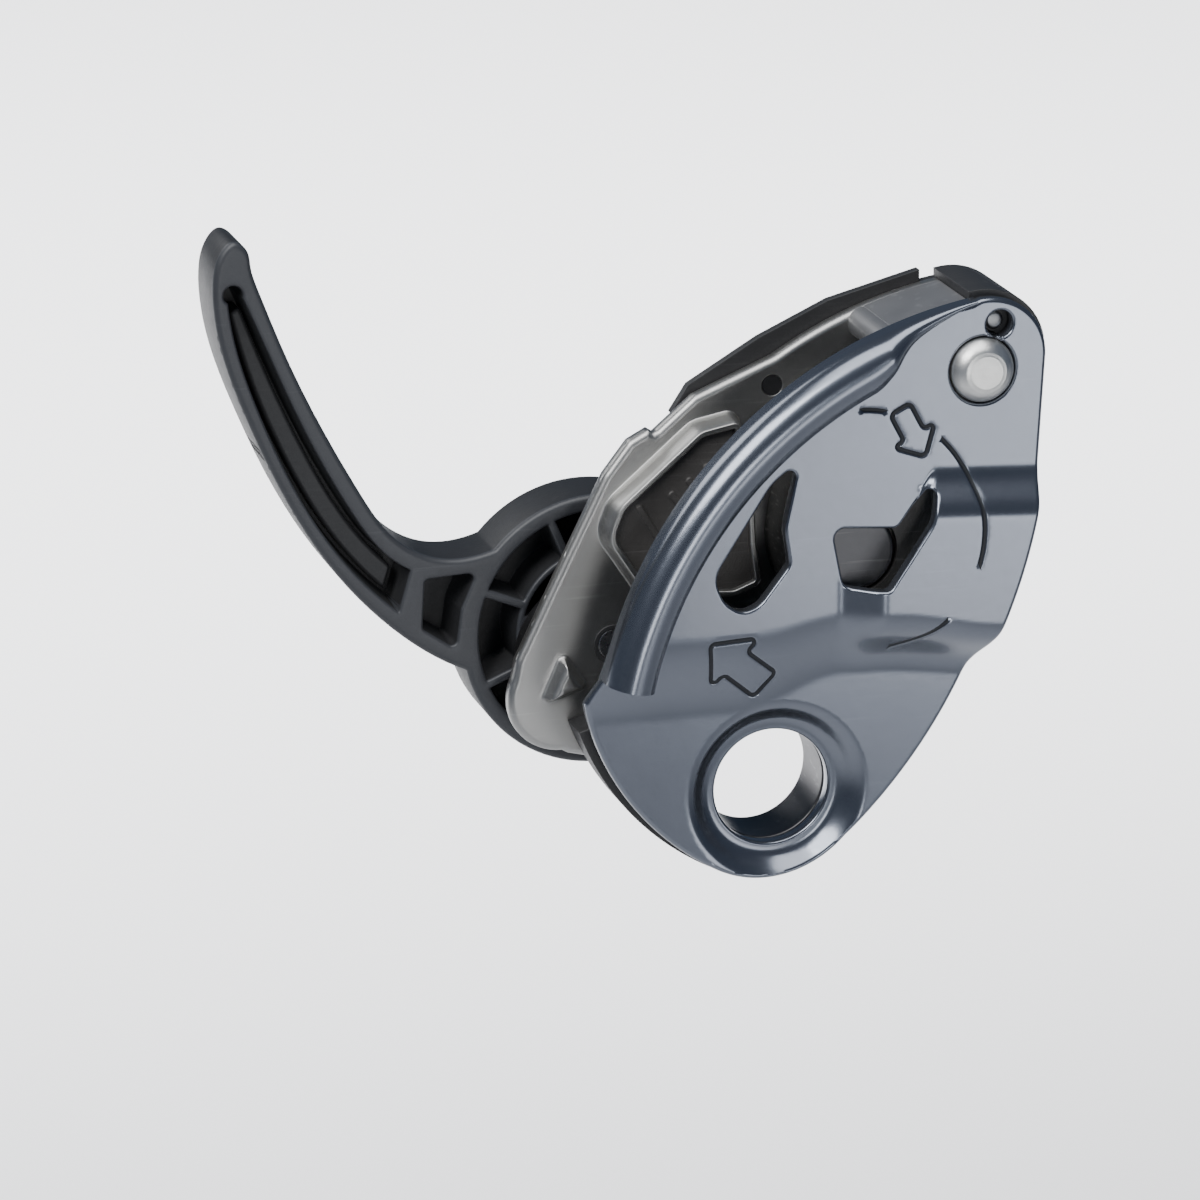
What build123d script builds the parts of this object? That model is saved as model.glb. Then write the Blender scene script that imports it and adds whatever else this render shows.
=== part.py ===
"""Assisted-braking belay device, in millimetres.

The rope path lies between two plates. The fixed plate carries the cam, the
friction block and the handle; the side plate swings on one rivet to open the
rope path. A pull on the handle turns a spiral disc, which pushes an arm on
the cam's axle, and the arm's pin turns the cam away from the friction block.

The origin is the centre of the attachment hole. +Z is up as the device hangs
under load, +X is to the right of someone who looks at the side plate, and +Y
runs from the side plate to the fixed plate, along every axle.
"""
import os
from math import atan2, cos, degrees, hypot, radians, sin

from build123d import *

# ---------------------------------------------------------------- driving sizes
CLEAR = 0.3                     # clearance between pieces that pass each other
RUNNING = 0.05                  # radial clearance of a turning pair

# stack of layers along Y, from the side plate back to the handle
SHEET_T = 2.4                   # side plate sheet
FIXED_T = 3.0                   # fixed plate
ROPE_GAP = 13.1                 # between the two plates at the cam
FIXED_Y = 5.0                   # front face of the fixed plate
DISC_T = 4.0                    # spiral disc and drive arm
HANDLE_T = 11.0                 # handle moulding
INNER_Y = FIXED_Y - ROPE_GAP    # inner face of the side plate at the cam
UPPER_Y = INNER_Y - SHEET_T     # its outer face there
BRIDGE_RISE = 3.5               # bridge over the rope stands this far proud
BRIDGE_Y = UPPER_Y - BRIDGE_RISE
FOOT_DROP = 3.5                 # foot of the sheet lies this much closer
FOOT_Y = UPPER_Y + FOOT_DROP
LEFT_CREASE = 24.0              # height where the sheet starts to step in
BRIDGE_CREASE = 26.6            # height where the bridge starts to step in
DISH_DROP = 2.8                 # depth of the dish round the attachment hole
REAR_Y = FIXED_Y + FIXED_T
DISC_Y = REAR_Y + 0.25
HANDLE_Y = DISC_Y + DISC_T + 0.35
HANDLE_REAR_Y = HANDLE_Y + HANDLE_T

# attachment hole
HOLE_R = 8.75
BUSH_WALL = 1.1
DISH_R = 13.6

# side plate rivet
RIVET_X, RIVET_Z = 29.5, 62.7
RIVET_R = 4.0
RIVET_HEAD_R = 4.85
RIVET_PROUD = 1.9
SPACER_WALL = 1.3
PIN_X, PIN_Z, PIN_R = 32.0, 69.4, 1.3
WINDOW_R = 2.0

# rolled lip along the upper left edge, an arc about its own centre
LIP_X, LIP_Z, LIP_R = 39.5, 5.8, 68.25
LIP_FROM, LIP_TO = 98.8, 168.0
LIP_TUBE_R = 3.7
LIP_TUBE_T = 1.7
LIP_FADE = 112.0

# cam, its axle and the rope groove
CAM_X, CAM_Z = 11.5, 36.0
GROOVE_X, GROOVE_Z = 10.5, 39.5
ROPE_PATH_R = 18.0
GROOVE_R = 5.5
CAM_RIM_R = 15.2
CAM_LEFT_R = 10.3
CAM_NOSE_R, CAM_NOSE_AT = 19.5, 102.0
AXLE_R = 3.5
AXLE_HEAD_R = 6.0
CAM_BUSH_WALL = 0.7
DRIVE_PIN_R = 1.6
DRIVE_PIN_AT = 205.0
DRIVE_PIN_RADIUS = 6.6
CAM_RELEASE = 13.0              # degrees the handle turns the arm
CAM_LOCK = 18.0                 # degrees the cam swings to pinch the rope

# friction block over the cam
BLOCK_LEFT, BLOCK_RIGHT = 14.0, 28.0
BLOCK_FLOOR = 64.6
WEAR_T = 1.2

# handle
HANDLE_X, HANDLE_Z = -21.6, 21.0
HUB_R = 20.7
HUB_WALL = 2.4
RING_R, RING_T = 12.6, 1.0
SLEEVE_R = 6.5
PIVOT_R = 4.0
PIVOT_TIP_R = 2.3
BOSS_T = 1.3
POCKET_FLOOR = 3.0
GRIP_PANEL_T = 4.6
HANDLE_PULL = 92.0              # degrees of the pull
HANDLE_FOLD = 80.0              # degrees from open to stowed
DOG_R, DOG_RADIUS, DOG_AT = 1.6, 9.7, -60.0
ARM_NOSE_R = 3.0
ARM_X, ARM_Z = -6.6, 21.0       # centre of the arm's nose at rest

# rear cover
COVER_T = 1.6
DOME_Y = 17.2
SCREW_R, SCREW_HEAD_R, SCREW_HEAD_T = 1.5, 2.7, 1.4


# ------------------------------------------------------------------- helpers
def slab(face, front, rear):
    """Solid between two Y levels, from a flat shape drawn as (x, z)."""
    return Pos(0, rear, 0) * Rot(90, 0, 0) * extrude(face, rear - front, dir=(0, 0, 1))


def disc(x, z, r, front, rear):
    """Round bar along Y."""
    return slab(Pos(x, z) * Circle(r), front, rear)


def ring(x, z, r, bore, front, rear):
    """Tube along Y."""
    return slab(Pos(x, z) * (Circle(r) - Circle(bore)), front, rear)


def polar(x, z, r, angle):
    """Point at an angle, counter-clockwise from +X, round (x, z)."""
    return (x + r * cos(radians(angle)), z + r * sin(radians(angle)))


def patch(*points, corner=0.0):
    """Flat shape from straight sides, with rounded corners."""
    face = make_face(Polyline(*points, close=True))
    return fillet(face.vertices(), corner) if corner else face


def arc_slot(x, z, radius, width, first, last):
    """Curved slot round (x, z), open between two angles."""
    line = CenterArc((x, z), radius, first, last - first)
    a, b = polar(x, z, radius, first), polar(x, z, radius, last)
    inner, outer = radius - width / 2, radius + width / 2
    band = make_face(
        CenterArc((x, z), outer, first, last - first)
        + Line(polar(x, z, outer, last), polar(x, z, inner, last))
        + CenterArc((x, z), inner, first, last - first)
        + Line(polar(x, z, inner, first), polar(x, z, outer, first)))
    return band + Pos(*a) * Circle(width / 2) + Pos(*b) * Circle(width / 2)


# ------------------------------------------------------------------- outlines
LIP_START = polar(LIP_X, LIP_Z, LIP_R, LIP_FROM)
LIP_END = polar(LIP_X, LIP_Z, LIP_R, LIP_TO)
CORNER_R = 9.05
CORNER = (RIVET_X + 0.75, RIVET_Z + 1.7)
FOOT_R = 13.4


def body_outline():
    """Outline that the side plate has, and that the fixed plate follows."""
    left = (-29.4, 16.0)
    foot_left = polar(0, 0, 14.7, 229.7)
    foot_right = polar(0, 0, FOOT_R, 324)
    knee = (29.3, 17.5)
    hip = (38.4, 47.0)
    shoulder = (CORNER[0] + CORNER_R, CORNER[1])
    return make_face(
        ThreePointArc(LIP_START, polar(LIP_X, LIP_Z, LIP_R, 133), LIP_END)
        + Line(LIP_END, left)
        + ThreePointArc(left, (-21.8, -0.6), foot_left)
        + ThreePointArc(foot_left, polar(0, 0, FOOT_R, 268), foot_right)
        + ThreePointArc(foot_right, (22.3, 5.2), knee)
        + ThreePointArc(knee, (35.4, 32.5), hip)
        + Line(hip, shoulder)
        + ThreePointArc(shoulder, polar(*CORNER, CORNER_R, 48), LIP_START))


OUTLINE = body_outline()


# ----------------------------------------------------------------- side plate
def pressed_strip(profile, x_from, x_to):
    """Strip of the sheet whose outer face follows (z, y) down a profile."""
    outer = [(y, z) for z, y in profile]
    inner = [(y + SHEET_T, z) for z, y in reversed(profile)]
    face = make_face(Polyline(*outer, *inner, close=True))
    plane = Plane(origin=(x_from, 0, 0), x_dir=(0, 1, 0), z_dir=(1, 0, 0))
    return extrude(plane * face, x_to - x_from, dir=(1, 0, 0))


def make_dish():
    """Dished collar of the sheet round the attachment hole."""
    rim = FOOT_Y + DISH_DROP
    section = make_face(Polyline(
        (HOLE_R - 0.5, rim), (HOLE_R + 1.2, rim), (DISH_R - 0.6, FOOT_Y), (DISH_R, FOOT_Y),
        (DISH_R, FOOT_Y + SHEET_T), (DISH_R - 1.6, FOOT_Y + SHEET_T),
        (HOLE_R + 1.2, rim + SHEET_T), (HOLE_R - 0.5, rim + SHEET_T), close=True))
    return revolve(section, Axis.Y)


def make_lip():
    """Rolled lip: half a tube carried round the lip's centre."""
    mid = LIP_R - 0.05 - LIP_TUBE_R
    tube = Circle(LIP_TUBE_R) - Circle(LIP_TUBE_R - LIP_TUBE_T)
    half = tube & Pos(0, -LIP_TUBE_R) * Rectangle(4 * LIP_TUBE_R, 2 * LIP_TUBE_R)
    wall = LIP_TUBE_R - LIP_TUBE_T / 2
    leg = Pos(wall, 0.6) * Rectangle(LIP_TUBE_T, 1.2)
    heel = Pos(-wall, 0.3) * Rectangle(LIP_TUBE_T, 0.6)
    # section plane: x points out along the radius, y to the fixed plate
    plane = Plane(origin=(LIP_X + mid, UPPER_Y, LIP_Z), x_dir=(1, 0, 0), z_dir=(0, 0, 1))
    axis = Axis((LIP_X, 0, LIP_Z), (0, -1, 0))
    lip = revolve(plane * (half + leg + heel), axis, LIP_TO - LIP_FADE + 8)
    lip = Pos(LIP_X, 0, LIP_Z) * Rot(0, 8 - LIP_FADE, 0) * Pos(-LIP_X, 0, -LIP_Z) * lip
    # the upper end runs out towards the edge
    run_out = patch(polar(LIP_X, LIP_Z, mid - 8, LIP_FADE + 3),
                    polar(LIP_X, LIP_Z, mid + 12, LIP_FADE - 14), (60, 90), (60, 50))
    return lip - slab(run_out, UPPER_Y - 10, UPPER_Y + 5)


def make_side_plate():
    """Pressed sheet with a rolled lip, windows and the rivet seat."""
    split = 11.0
    left = pressed_strip([(90, UPPER_Y), (LEFT_CREASE, UPPER_Y), (13.5, FOOT_Y), (-30, FOOT_Y)], -40, 30)
    right = pressed_strip([(90, UPPER_Y), (49, UPPER_Y), (41.5, BRIDGE_Y), (BRIDGE_CREASE, BRIDGE_Y),
                           (16.5, FOOT_Y), (-30, FOOT_Y)], split, 60)
    # the bridge starts at the window's right edge, and lower down at the split
    bridge_side = patch((23.4, 90), (23.4, 48.9), (15.2, 31.8), (split, 28.0), (split, -30), (60, -30), (60, 90))
    region = slab(bridge_side, BRIDGE_Y - 2, FIXED_Y + 2)
    ramp_face = make_face(Polyline(
        (split - 3.5, UPPER_Y), (split + 2.5, BRIDGE_Y), (split + 2.5, BRIDGE_Y + SHEET_T),
        (split - 3.5, UPPER_Y + SHEET_T), close=True))
    cross = Pos(0, 0, 26.5) * extrude(ramp_face, 6.5, dir=(0, 0, 1))
    sheet = ((left - region) + (right & region) + cross) & slab(OUTLINE, BRIDGE_Y - 2, FIXED_Y + 2)
    sheet = sheet - disc(0, 0, DISH_R - 0.3, BRIDGE_Y, FIXED_Y) + make_dish()
    plate = sheet + make_lip()
    plate = plate - slab(leaf_slot(), UPPER_Y - 5, FIXED_Y)
    plate = plate - slab(cam_window(), UPPER_Y - 9, FIXED_Y)
    plate = plate - disc(0, 0, HOLE_R, UPPER_Y - 9, FIXED_Y)
    plate = plate - disc(PIN_X, PIN_Z, WINDOW_R, UPPER_Y - 5, FIXED_Y)
    plate = plate - disc(RIVET_X, RIVET_Z, RIVET_R + RUNNING, UPPER_Y - 5, FIXED_Y)
    return plate - disc(RIVET_X, RIVET_Z, RIVET_HEAD_R + 0.2, UPPER_Y - 5, UPPER_Y + SHEET_T / 2)


def leaf_slot():
    """Leaf-shaped window beside the lip."""
    return patch((-10.9, 34.4), (-2.2, 48.0), (1.8, 51.0), (-0.3, 41.0), (0.5, 35.6),
                 (-4.0, 29.8), (-6.6, 28.9), (-9.2, 30.6), corner=0.9)


def cam_window():
    """Window over the cam's axle, closed on the right by the bridge."""
    return patch((7.0, 40.6), (16.9, 39.8), (23.0, 48.4), (21.2, 41.0), (14.8, 31.4),
                 (8.8, 31.6), corner=0.9)


# ----------------------------------------------------------------- fixed plate
def fixed_outline():
    """Body outline, with the flange at the upper left and the handle's ear."""
    flange = patch((20, 70.3), (8, 64.8), (-9.3, 57.6), (-15.3, 52.5), (-16.2, 53.1),
                   (-19.2, 51.5), (-22.9, 46.7), (-30.4, 31.5), (-36.2, 19.5), (-37.4, 13.2),
                   (-34.6, 8.2), (-28.4, 4.6), (-20, 2.5), (0, 30))
    ear = Pos(-29.4, 13.2) * Circle(8.1)
    return offset(OUTLINE, -0.6, kind=Kind.INTERSECTION) + flange + ear


def island_outline(inset=0.0):
    """Raised island inside the rope's loop."""
    face = patch((-2.2, 55.4), (-9.8, 53.9), (-22.2, 43.2), (-24.2, 38.0), (-17.6, 28.0),
                 (-4.0, 27.4), (0.6, 29.2), (-0.4, 36.0), (-0.8, 43.5), (-3.2, 50.0), corner=2.0)
    return offset(face, -inset) if inset else face


ISLAND_Y = 1.0
RECESS_T = 3.0
RIM_T = 1.3


def make_fixed_plate():
    """Fixed plate with its island, ear, bump, slots and holes."""
    plate = slab(fixed_outline(), FIXED_Y, REAR_Y)
    island = slab(island_outline(), ISLAND_Y, FIXED_Y)
    plate = plate + island - slab(island_outline(RIM_T), ISLAND_Y, ISLAND_Y + RECESS_T)
    bump = patch((-33.2, 12.2), (-25.2, 15.0), (-29.6, 20.8), corner=1.2)
    plate = plate + Pos(0, FIXED_Y, 0) * Rot(90, 0, 0) * extrude(bump, 2.6, dir=(0, 0, 1), taper=28)
    plate = plate - disc(0, 0, HOLE_R + BUSH_WALL, FIXED_Y, REAR_Y)
    plate = plate - disc(RIVET_X, RIVET_Z, RIVET_R, FIXED_Y, REAR_Y)
    plate = plate - disc(CAM_X, CAM_Z, AXLE_R, FIXED_Y, REAR_Y)
    plate = plate - disc(HANDLE_X, HANDLE_Z, PIVOT_TIP_R, FIXED_Y, REAR_Y)
    plate = plate - disc(HANDLE_X, HANDLE_Z, PIVOT_TIP_R + 0.7, FIXED_Y, FIXED_Y + 0.8)
    plate = plate - disc(PIN_X, PIN_Z, PIN_R, FIXED_Y, REAR_Y)
    slot = arc_slot(CAM_X, CAM_Z, DRIVE_PIN_RADIUS, 2 * (DRIVE_PIN_R + 0.3),
                    DRIVE_PIN_AT - 3, DRIVE_PIN_AT + CAM_RELEASE + 3)
    plate = plate - slab(slot, FIXED_Y, REAR_Y)
    for x, z in BLOCK_PINS:
        plate = plate - disc(x, z, BLOCK_PIN_R, FIXED_Y, REAR_Y)
    for x, z in SCREWS.values():
        plate = plate - disc(x, z, SCREW_R, FIXED_Y, REAR_Y)
    return plate


def make_plate_insert():
    """Moulded insert that fills the island, with a ridge and three marks."""
    top = ISLAND_Y + 0.9
    insert = slab(island_outline(RIM_T), top, ISLAND_Y + RECESS_T)
    ridge = patch((-19.3, 42.6), (-18.4, 43.0), (-14.6, 36.6), (-15.5, 36.2))
    insert = insert + slab(ridge, top - 0.5, top)
    for k in range(3):
        mark = Pos(-12.5 + 2.6 * k, 42.5 + 1.9 * k) * Rot(0, 0, -52) * Rectangle(4.6, 0.9)
        insert = insert + slab(mark, top - 0.3, top)
    return insert


def make_lower_liner():
    """Spacer between the plates round the attachment hole."""
    front = UPPER_Y + FOOT_DROP + DISH_DROP + SHEET_T + CLEAR
    band = patch((-34, 8.5), (-18, 13.0), (0, 15.3), (18, 15.3), (25.5, 12.0), (40, -20), (-34, -20))
    face = offset(OUTLINE, 0.9, kind=Kind.INTERSECTION) & band
    liner = slab(face, front, FIXED_Y)
    liner = liner - disc(0, 0, HOLE_R + BUSH_WALL, front, FIXED_Y)
    x, z = SCREWS["lower"]
    return liner - disc(x, z, SCREW_R, FIXED_Y - 4, FIXED_Y)


def make_attachment_bush():
    """Steel bush that lines the attachment hole of the fixed side."""
    front = UPPER_Y + FOOT_DROP + DISH_DROP + SHEET_T + CLEAR
    return ring(0, 0, HOLE_R + BUSH_WALL, HOLE_R, front, REAR_Y)


# ---------------------------------------------------------- block, cap, rivets
BLOCK_FRONT = INNER_Y + CLEAR
BLOCK_PIN_R = 1.4
BLOCK_PINS = ((17.6, 67.2), (24.0, 69.6))
SCREWS = {"upper": (2.5, 58.5), "right": (33.8, 50.0), "lower": (14.5, 11.6)}


def make_friction_block():
    """Block that the cam presses the rope against."""
    inside = offset(OUTLINE, -0.5, kind=Kind.INTERSECTION)
    area = patch((BLOCK_LEFT, BLOCK_FLOOR), (BLOCK_LEFT, 80), (BLOCK_RIGHT, 80), (BLOCK_RIGHT, BLOCK_FLOOR))
    nose = Pos(BLOCK_LEFT + 2.4, BLOCK_FLOOR + 2.4) * Circle(2.4)
    shape = (inside & area) - patch((BLOCK_LEFT, 60), (BLOCK_LEFT, 80), (BLOCK_LEFT + 2.4, 80), (BLOCK_LEFT + 2.4, 60))
    block = slab(shape + nose, BLOCK_FRONT, FIXED_Y)
    block = block - disc(RIVET_X, RIVET_Z, RIVET_R + SPACER_WALL + 0.1, BLOCK_FRONT, FIXED_Y)
    for x, z in BLOCK_PINS:
        block = block - disc(x, z, BLOCK_PIN_R, BLOCK_FRONT + 5, FIXED_Y)
    return block


def make_friction_plate():
    """Stainless wear plate on the block's underside."""
    left, right = BLOCK_LEFT + 2.4, 23.8
    shape = patch((left, BLOCK_FLOOR - WEAR_T), (right, BLOCK_FLOOR - WEAR_T), (right, BLOCK_FLOOR), (left, BLOCK_FLOOR))
    plate = slab(shape, BLOCK_FRONT, FIXED_Y)
    return fillet(plate.edges().filter_by(Axis.Y).sort_by(Axis.Z)[:2], 0.5)


def make_corner_cap():
    """Cap round the upper right corner, between the plates and over the rim."""
    outer = offset(OUTLINE, 0.7, kind=Kind.INTERSECTION)
    area = patch((BLOCK_RIGHT + 0.1, 66.2), (BLOCK_RIGHT + 0.1, 82), (50, 82), (50, 66.2))
    cap = slab(outer & area, BLOCK_FRONT, REAR_Y)
    trimmed = offset(OUTLINE, -0.6, kind=Kind.INTERSECTION) + Pos(20, 66) * Rectangle(16, 10)
    cap = cap - slab(trimmed, FIXED_Y, REAR_Y)
    cap = cap - disc(RIVET_X, RIVET_Z, RIVET_R + SPACER_WALL + 0.1, BLOCK_FRONT, FIXED_Y)
    return cap - disc(PIN_X, PIN_Z, PIN_R, BLOCK_FRONT, REAR_Y)


def make_stop_pin():
    """Pin that holds the cap and shows through the round window."""
    pin = disc(PIN_X, PIN_Z, PIN_R, INNER_Y + 0.1, REAR_Y)
    return chamfer(pin.edges().sort_by(Axis.Y)[0], 0.25)


def make_block_pin(place):
    """Rivet that holds the block to the fixed plate."""
    x, z = place
    pin = disc(x, z, BLOCK_PIN_R, BLOCK_FRONT + 5, REAR_Y)
    return pin


def make_side_plate_rivet():
    """Rivet that the side plate turns on, with a turned front head."""
    seat = UPPER_Y + SHEET_T / 2 - 0.05
    rivet = disc(RIVET_X, RIVET_Z, RIVET_R, seat, REAR_Y)
    head = disc(RIVET_X, RIVET_Z, RIVET_HEAD_R, UPPER_Y - RIVET_PROUD, seat)
    head = chamfer(head.edges().sort_by(Axis.Y)[0], 0.9)
    tail = disc(RIVET_X, RIVET_Z, RIVET_R + 1.2, REAR_Y, REAR_Y + 1.4)
    return rivet + head + tail


def make_rivet_spacer():
    """Tube round the rivet that keeps the plates apart."""
    return ring(RIVET_X, RIVET_Z, RIVET_R + SPACER_WALL, RIVET_R, INNER_Y + 0.05, FIXED_Y)


# -------------------------------------------------------------------- the cam
CAM_FRONT = INNER_Y + 0.4
CAM_REAR = FIXED_Y - 0.3
CAM_MID = (CAM_FRONT + CAM_REAR) / 2
BUSH_R = AXLE_R + RUNNING + CAM_BUSH_WALL
SHOE_T = 1.4


def cam_outline():
    """Eccentric rim on the right, nose at the top, flat back on the left."""
    top = polar(GROOVE_X, GROOVE_Z, CAM_RIM_R, 72)
    side = polar(GROOVE_X, GROOVE_Z, CAM_RIM_R, -10)
    bottom = polar(GROOVE_X, GROOVE_Z, CAM_RIM_R, 262)
    nose = polar(CAM_X, CAM_Z, CAM_NOSE_R, CAM_NOSE_AT)
    return make_face(
        ThreePointArc(top, side, bottom)
        + ThreePointArc(bottom, polar(CAM_X, CAM_Z, CAM_LEFT_R, 215), polar(CAM_X, CAM_Z, CAM_LEFT_R, 160))
        + Line(polar(CAM_X, CAM_Z, CAM_LEFT_R, 160), polar(CAM_X, CAM_Z, 16.6, 118))
        + ThreePointArc(polar(CAM_X, CAM_Z, 16.6, 118), polar(CAM_X, CAM_Z, 19.0, 109), nose)
        + Line(nose, top))


def shoe_face(grow=0.0):
    """Section of the wear shoe let into the cam's nose."""
    outer = CAM_NOSE_R + 0.35 + grow
    inner = CAM_NOSE_R - SHOE_T
    first, last = 84.0, 106.0
    return make_face(
        CenterArc((CAM_X, CAM_Z), outer, first, last - first)
        + Line(polar(CAM_X, CAM_Z, outer, last), polar(CAM_X, CAM_Z, inner, last))
        + CenterArc((CAM_X, CAM_Z), inner, first, last - first)
        + Line(polar(CAM_X, CAM_Z, inner, first), polar(CAM_X, CAM_Z, outer, first)))


def make_cam_body():
    """Cam with the rope groove, the bush's bore and the drive pin's slot."""
    cam = slab(cam_outline(), CAM_FRONT, CAM_REAR)
    groove = Pos(GROOVE_X, CAM_MID, GROOVE_Z) * Rot(90, 0, 0) * Torus(ROPE_PATH_R, GROOVE_R)
    away = slab(patch((-20, 40), (-20, 80), (14.6, 80), (14.6, 54), (10, 40)), CAM_FRONT - 5, CAM_REAR + 5)
    cam = cam - (groove - away)
    cam = cam - slab(shoe_face(1.0), CAM_FRONT + 1.2, CAM_REAR - 1.2)
    cam = cam - disc(CAM_X, CAM_Z, BUSH_R, CAM_FRONT, CAM_REAR)
    cam = cam - disc(CAM_X, CAM_Z, AXLE_HEAD_R + CLEAR, CAM_FRONT, CAM_FRONT + 1.8)
    slot = arc_slot(CAM_X, CAM_Z, DRIVE_PIN_RADIUS, 2 * (DRIVE_PIN_R + 0.2),
                    DRIVE_PIN_AT - 2, DRIVE_PIN_AT + CAM_LOCK + 2)
    return cam - slab(slot, CAM_REAR - 5, CAM_REAR)


def make_cam_shoe():
    """Stainless shoe with teeth along the pinching face."""
    return slab(shoe_face(), CAM_FRONT + 1.2, CAM_REAR - 1.2)


def make_cam_bush():
    """Bearing bush pressed into the cam."""
    return ring(CAM_X, CAM_Z, BUSH_R, AXLE_R + RUNNING, CAM_FRONT + 1.8, CAM_REAR)


def make_cam_axle():
    """Headed axle, fixed in the fixed plate."""
    head = disc(CAM_X, CAM_Z, AXLE_HEAD_R, CAM_FRONT, CAM_FRONT + 1.5)
    head = chamfer(head.edges().sort_by(Axis.Y)[0], 0.5)
    return head + disc(CAM_X, CAM_Z, AXLE_R, CAM_FRONT + 1.5, DISC_Y + DISC_T + 2.2)


def make_axle_clip():
    """Retaining ring on the axle's rear end."""
    return ring(CAM_X, CAM_Z, AXLE_R + 2.2, AXLE_R, DISC_Y + DISC_T + 0.2, DISC_Y + DISC_T + 1.2)


def make_coil(x, z, radius, wire, front, turns, pitch):
    """Flat-wound torsion spring round an axle."""
    coil = Helix(pitch=pitch, height=pitch * turns, radius=radius)
    section = Plane(origin=coil @ 0, z_dir=coil % 0) * Circle(wire / 2)
    spring = sweep(section, path=coil)
    return Pos(x, front + pitch * turns, z) * Rot(90, 0, 0) * spring


# ----------------------------------------------------------- release mechanism
ARM_REACH = hypot(ARM_X - CAM_X, ARM_Z - CAM_Z)
ARM_AT = degrees(atan2(ARM_Z - CAM_Z, ARM_X - CAM_X))


def arm_nose(pull):
    """Centre of the arm's nose for one handle angle."""
    return polar(CAM_X, CAM_Z, ARM_REACH, ARM_AT + CAM_RELEASE * pull / HANDLE_PULL)


def disc_profile():
    """Spiral edge that keeps touch with the nose through the whole pull."""
    reach = ARM_NOSE_R + 0.25
    points = []
    for k in range(-1, 9):
        pull = HANDLE_PULL * k / 7
        x, z = arm_nose(pull)
        r = hypot(x - HANDLE_X, z - HANDLE_Z)
        angle = degrees(atan2(z - HANDLE_Z, x - HANDLE_X)) - pull
        points.append((r - reach, angle))
    return points


def make_release_hub():
    """Spiral disc with the sleeve that the handle folds on."""
    spiral = [polar(HANDLE_X, HANDLE_Z, r, a) for r, a in disc_profile()]
    edge = Spline(*spiral)
    centre_back = polar(HANDLE_X, HANDLE_Z, 10.8, 150)
    body = make_face(edge + ThreePointArc(spiral[-1], centre_back, spiral[0]))
    y1 = DISC_Y + DISC_T
    hub = slab(body + Pos(HANDLE_X, HANDLE_Z) * Circle(10.8), DISC_Y, y1)
    hub = hub + disc(HANDLE_X, HANDLE_Z, SLEEVE_R, y1, HANDLE_REAR_Y - 0.4)
    hub = hub - disc(HANDLE_X, HANDLE_Z, PIVOT_R + RUNNING, DISC_Y, HANDLE_REAR_Y)
    hub = hub - disc(HANDLE_X, HANDLE_Z, 7.4, DISC_Y, DISC_Y + 2.3)
    x, z = polar(HANDLE_X, HANDLE_Z, DOG_RADIUS, DOG_AT)
    return hub - disc(x, z, DOG_R, DISC_Y, y1)


def make_hub_dog():
    """Pin that carries the handle's pull to the disc."""
    x, z = polar(HANDLE_X, HANDLE_Z, DOG_RADIUS, DOG_AT)
    return disc(x, z, DOG_R, DISC_Y, HANDLE_Y + 5.5)


def make_drive_arm():
    """Arm on the cam's axle, with a round nose against the disc."""
    hub = Pos(CAM_X, CAM_Z) * Circle(9.2)
    nose = Pos(ARM_X, ARM_Z) * Circle(ARM_NOSE_R)
    side = ARM_AT + 90
    web = patch(polar(CAM_X, CAM_Z, 7.5, side), polar(CAM_X, CAM_Z, -7.5, side),
                polar(ARM_X, ARM_Z, -ARM_NOSE_R, side), polar(ARM_X, ARM_Z, ARM_NOSE_R, side))
    arm = slab(hub + nose + web, DISC_Y, DISC_Y + DISC_T - 0.1)
    arm = arm - disc(CAM_X, CAM_Z, AXLE_R + RUNNING, DISC_Y, DISC_Y + DISC_T)
    x, z = polar(CAM_X, CAM_Z, DRIVE_PIN_RADIUS, DRIVE_PIN_AT)
    return arm - disc(x, z, DRIVE_PIN_R, DISC_Y, DISC_Y + DISC_T)


def make_drive_pin():
    """Pin that reaches from the arm through the fixed plate into the cam."""
    x, z = polar(CAM_X, CAM_Z, DRIVE_PIN_RADIUS, DRIVE_PIN_AT)
    return disc(x, z, DRIVE_PIN_R, CAM_REAR - 4.6, DISC_Y + DISC_T - 0.1)


# --------------------------------------------------------------------- handle
def lever_outline():
    """Curved lever from the hub to the rounded tip."""
    outer = Spline((-35.0, 14.2), (-42.2, 16.4), (-53.6, 24.2), (-62.3, 34.0), (-74.1, 56.6), (-77.9, 68.0), (-78.9, 75.4))
    tip = Spline((-78.9, 75.4), (-78.3, 80.2), (-75.6, 83.3), (-73.4, 81.6), (-72.8, 77.8),
                 tangents=((0.05, 1), (0.4, -1)))
    inner = Spline((-72.8, 77.8), (-67.9, 65.2), (-57.4, 44.4), (-52.2, 37.2), (-46.0, 33.8), (-38.8, 34.0), (-32.0, 37.6))
    back = Polyline((-32.0, 37.6), (-26.0, 26.0), (-35.0, 14.2))
    return make_face(outer + tip + inner + back)


def grip_sides():
    """Left and right side of the long pocket, from the root up."""
    left = Spline((-52.0, 26.2), (-61.2, 36.0), (-72.2, 57.4), (-75.9, 69.4), (-76.6, 74.2))
    right = Spline((-50.2, 32.4), (-54.2, 35.4), (-58.6, 41.4), (-66.9, 57.2), (-74.5, 75.0))
    return left, right


def grip_pocket():
    """Long pocket along the grip."""
    left, right = grip_sides()
    top = ThreePointArc(left @ 1, (-75.6, 76.8), right @ 1)
    return make_face(left + top + right + Line(right @ 0, left @ 0))


def root_pocket():
    """Short pocket between the grip and the hub."""
    return patch((-48.0, 30.8), (-40.2, 31.2), (-42.6, 25.8), (-43.4, 19.8), (-48.4, 23.2), corner=0.8)


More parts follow.
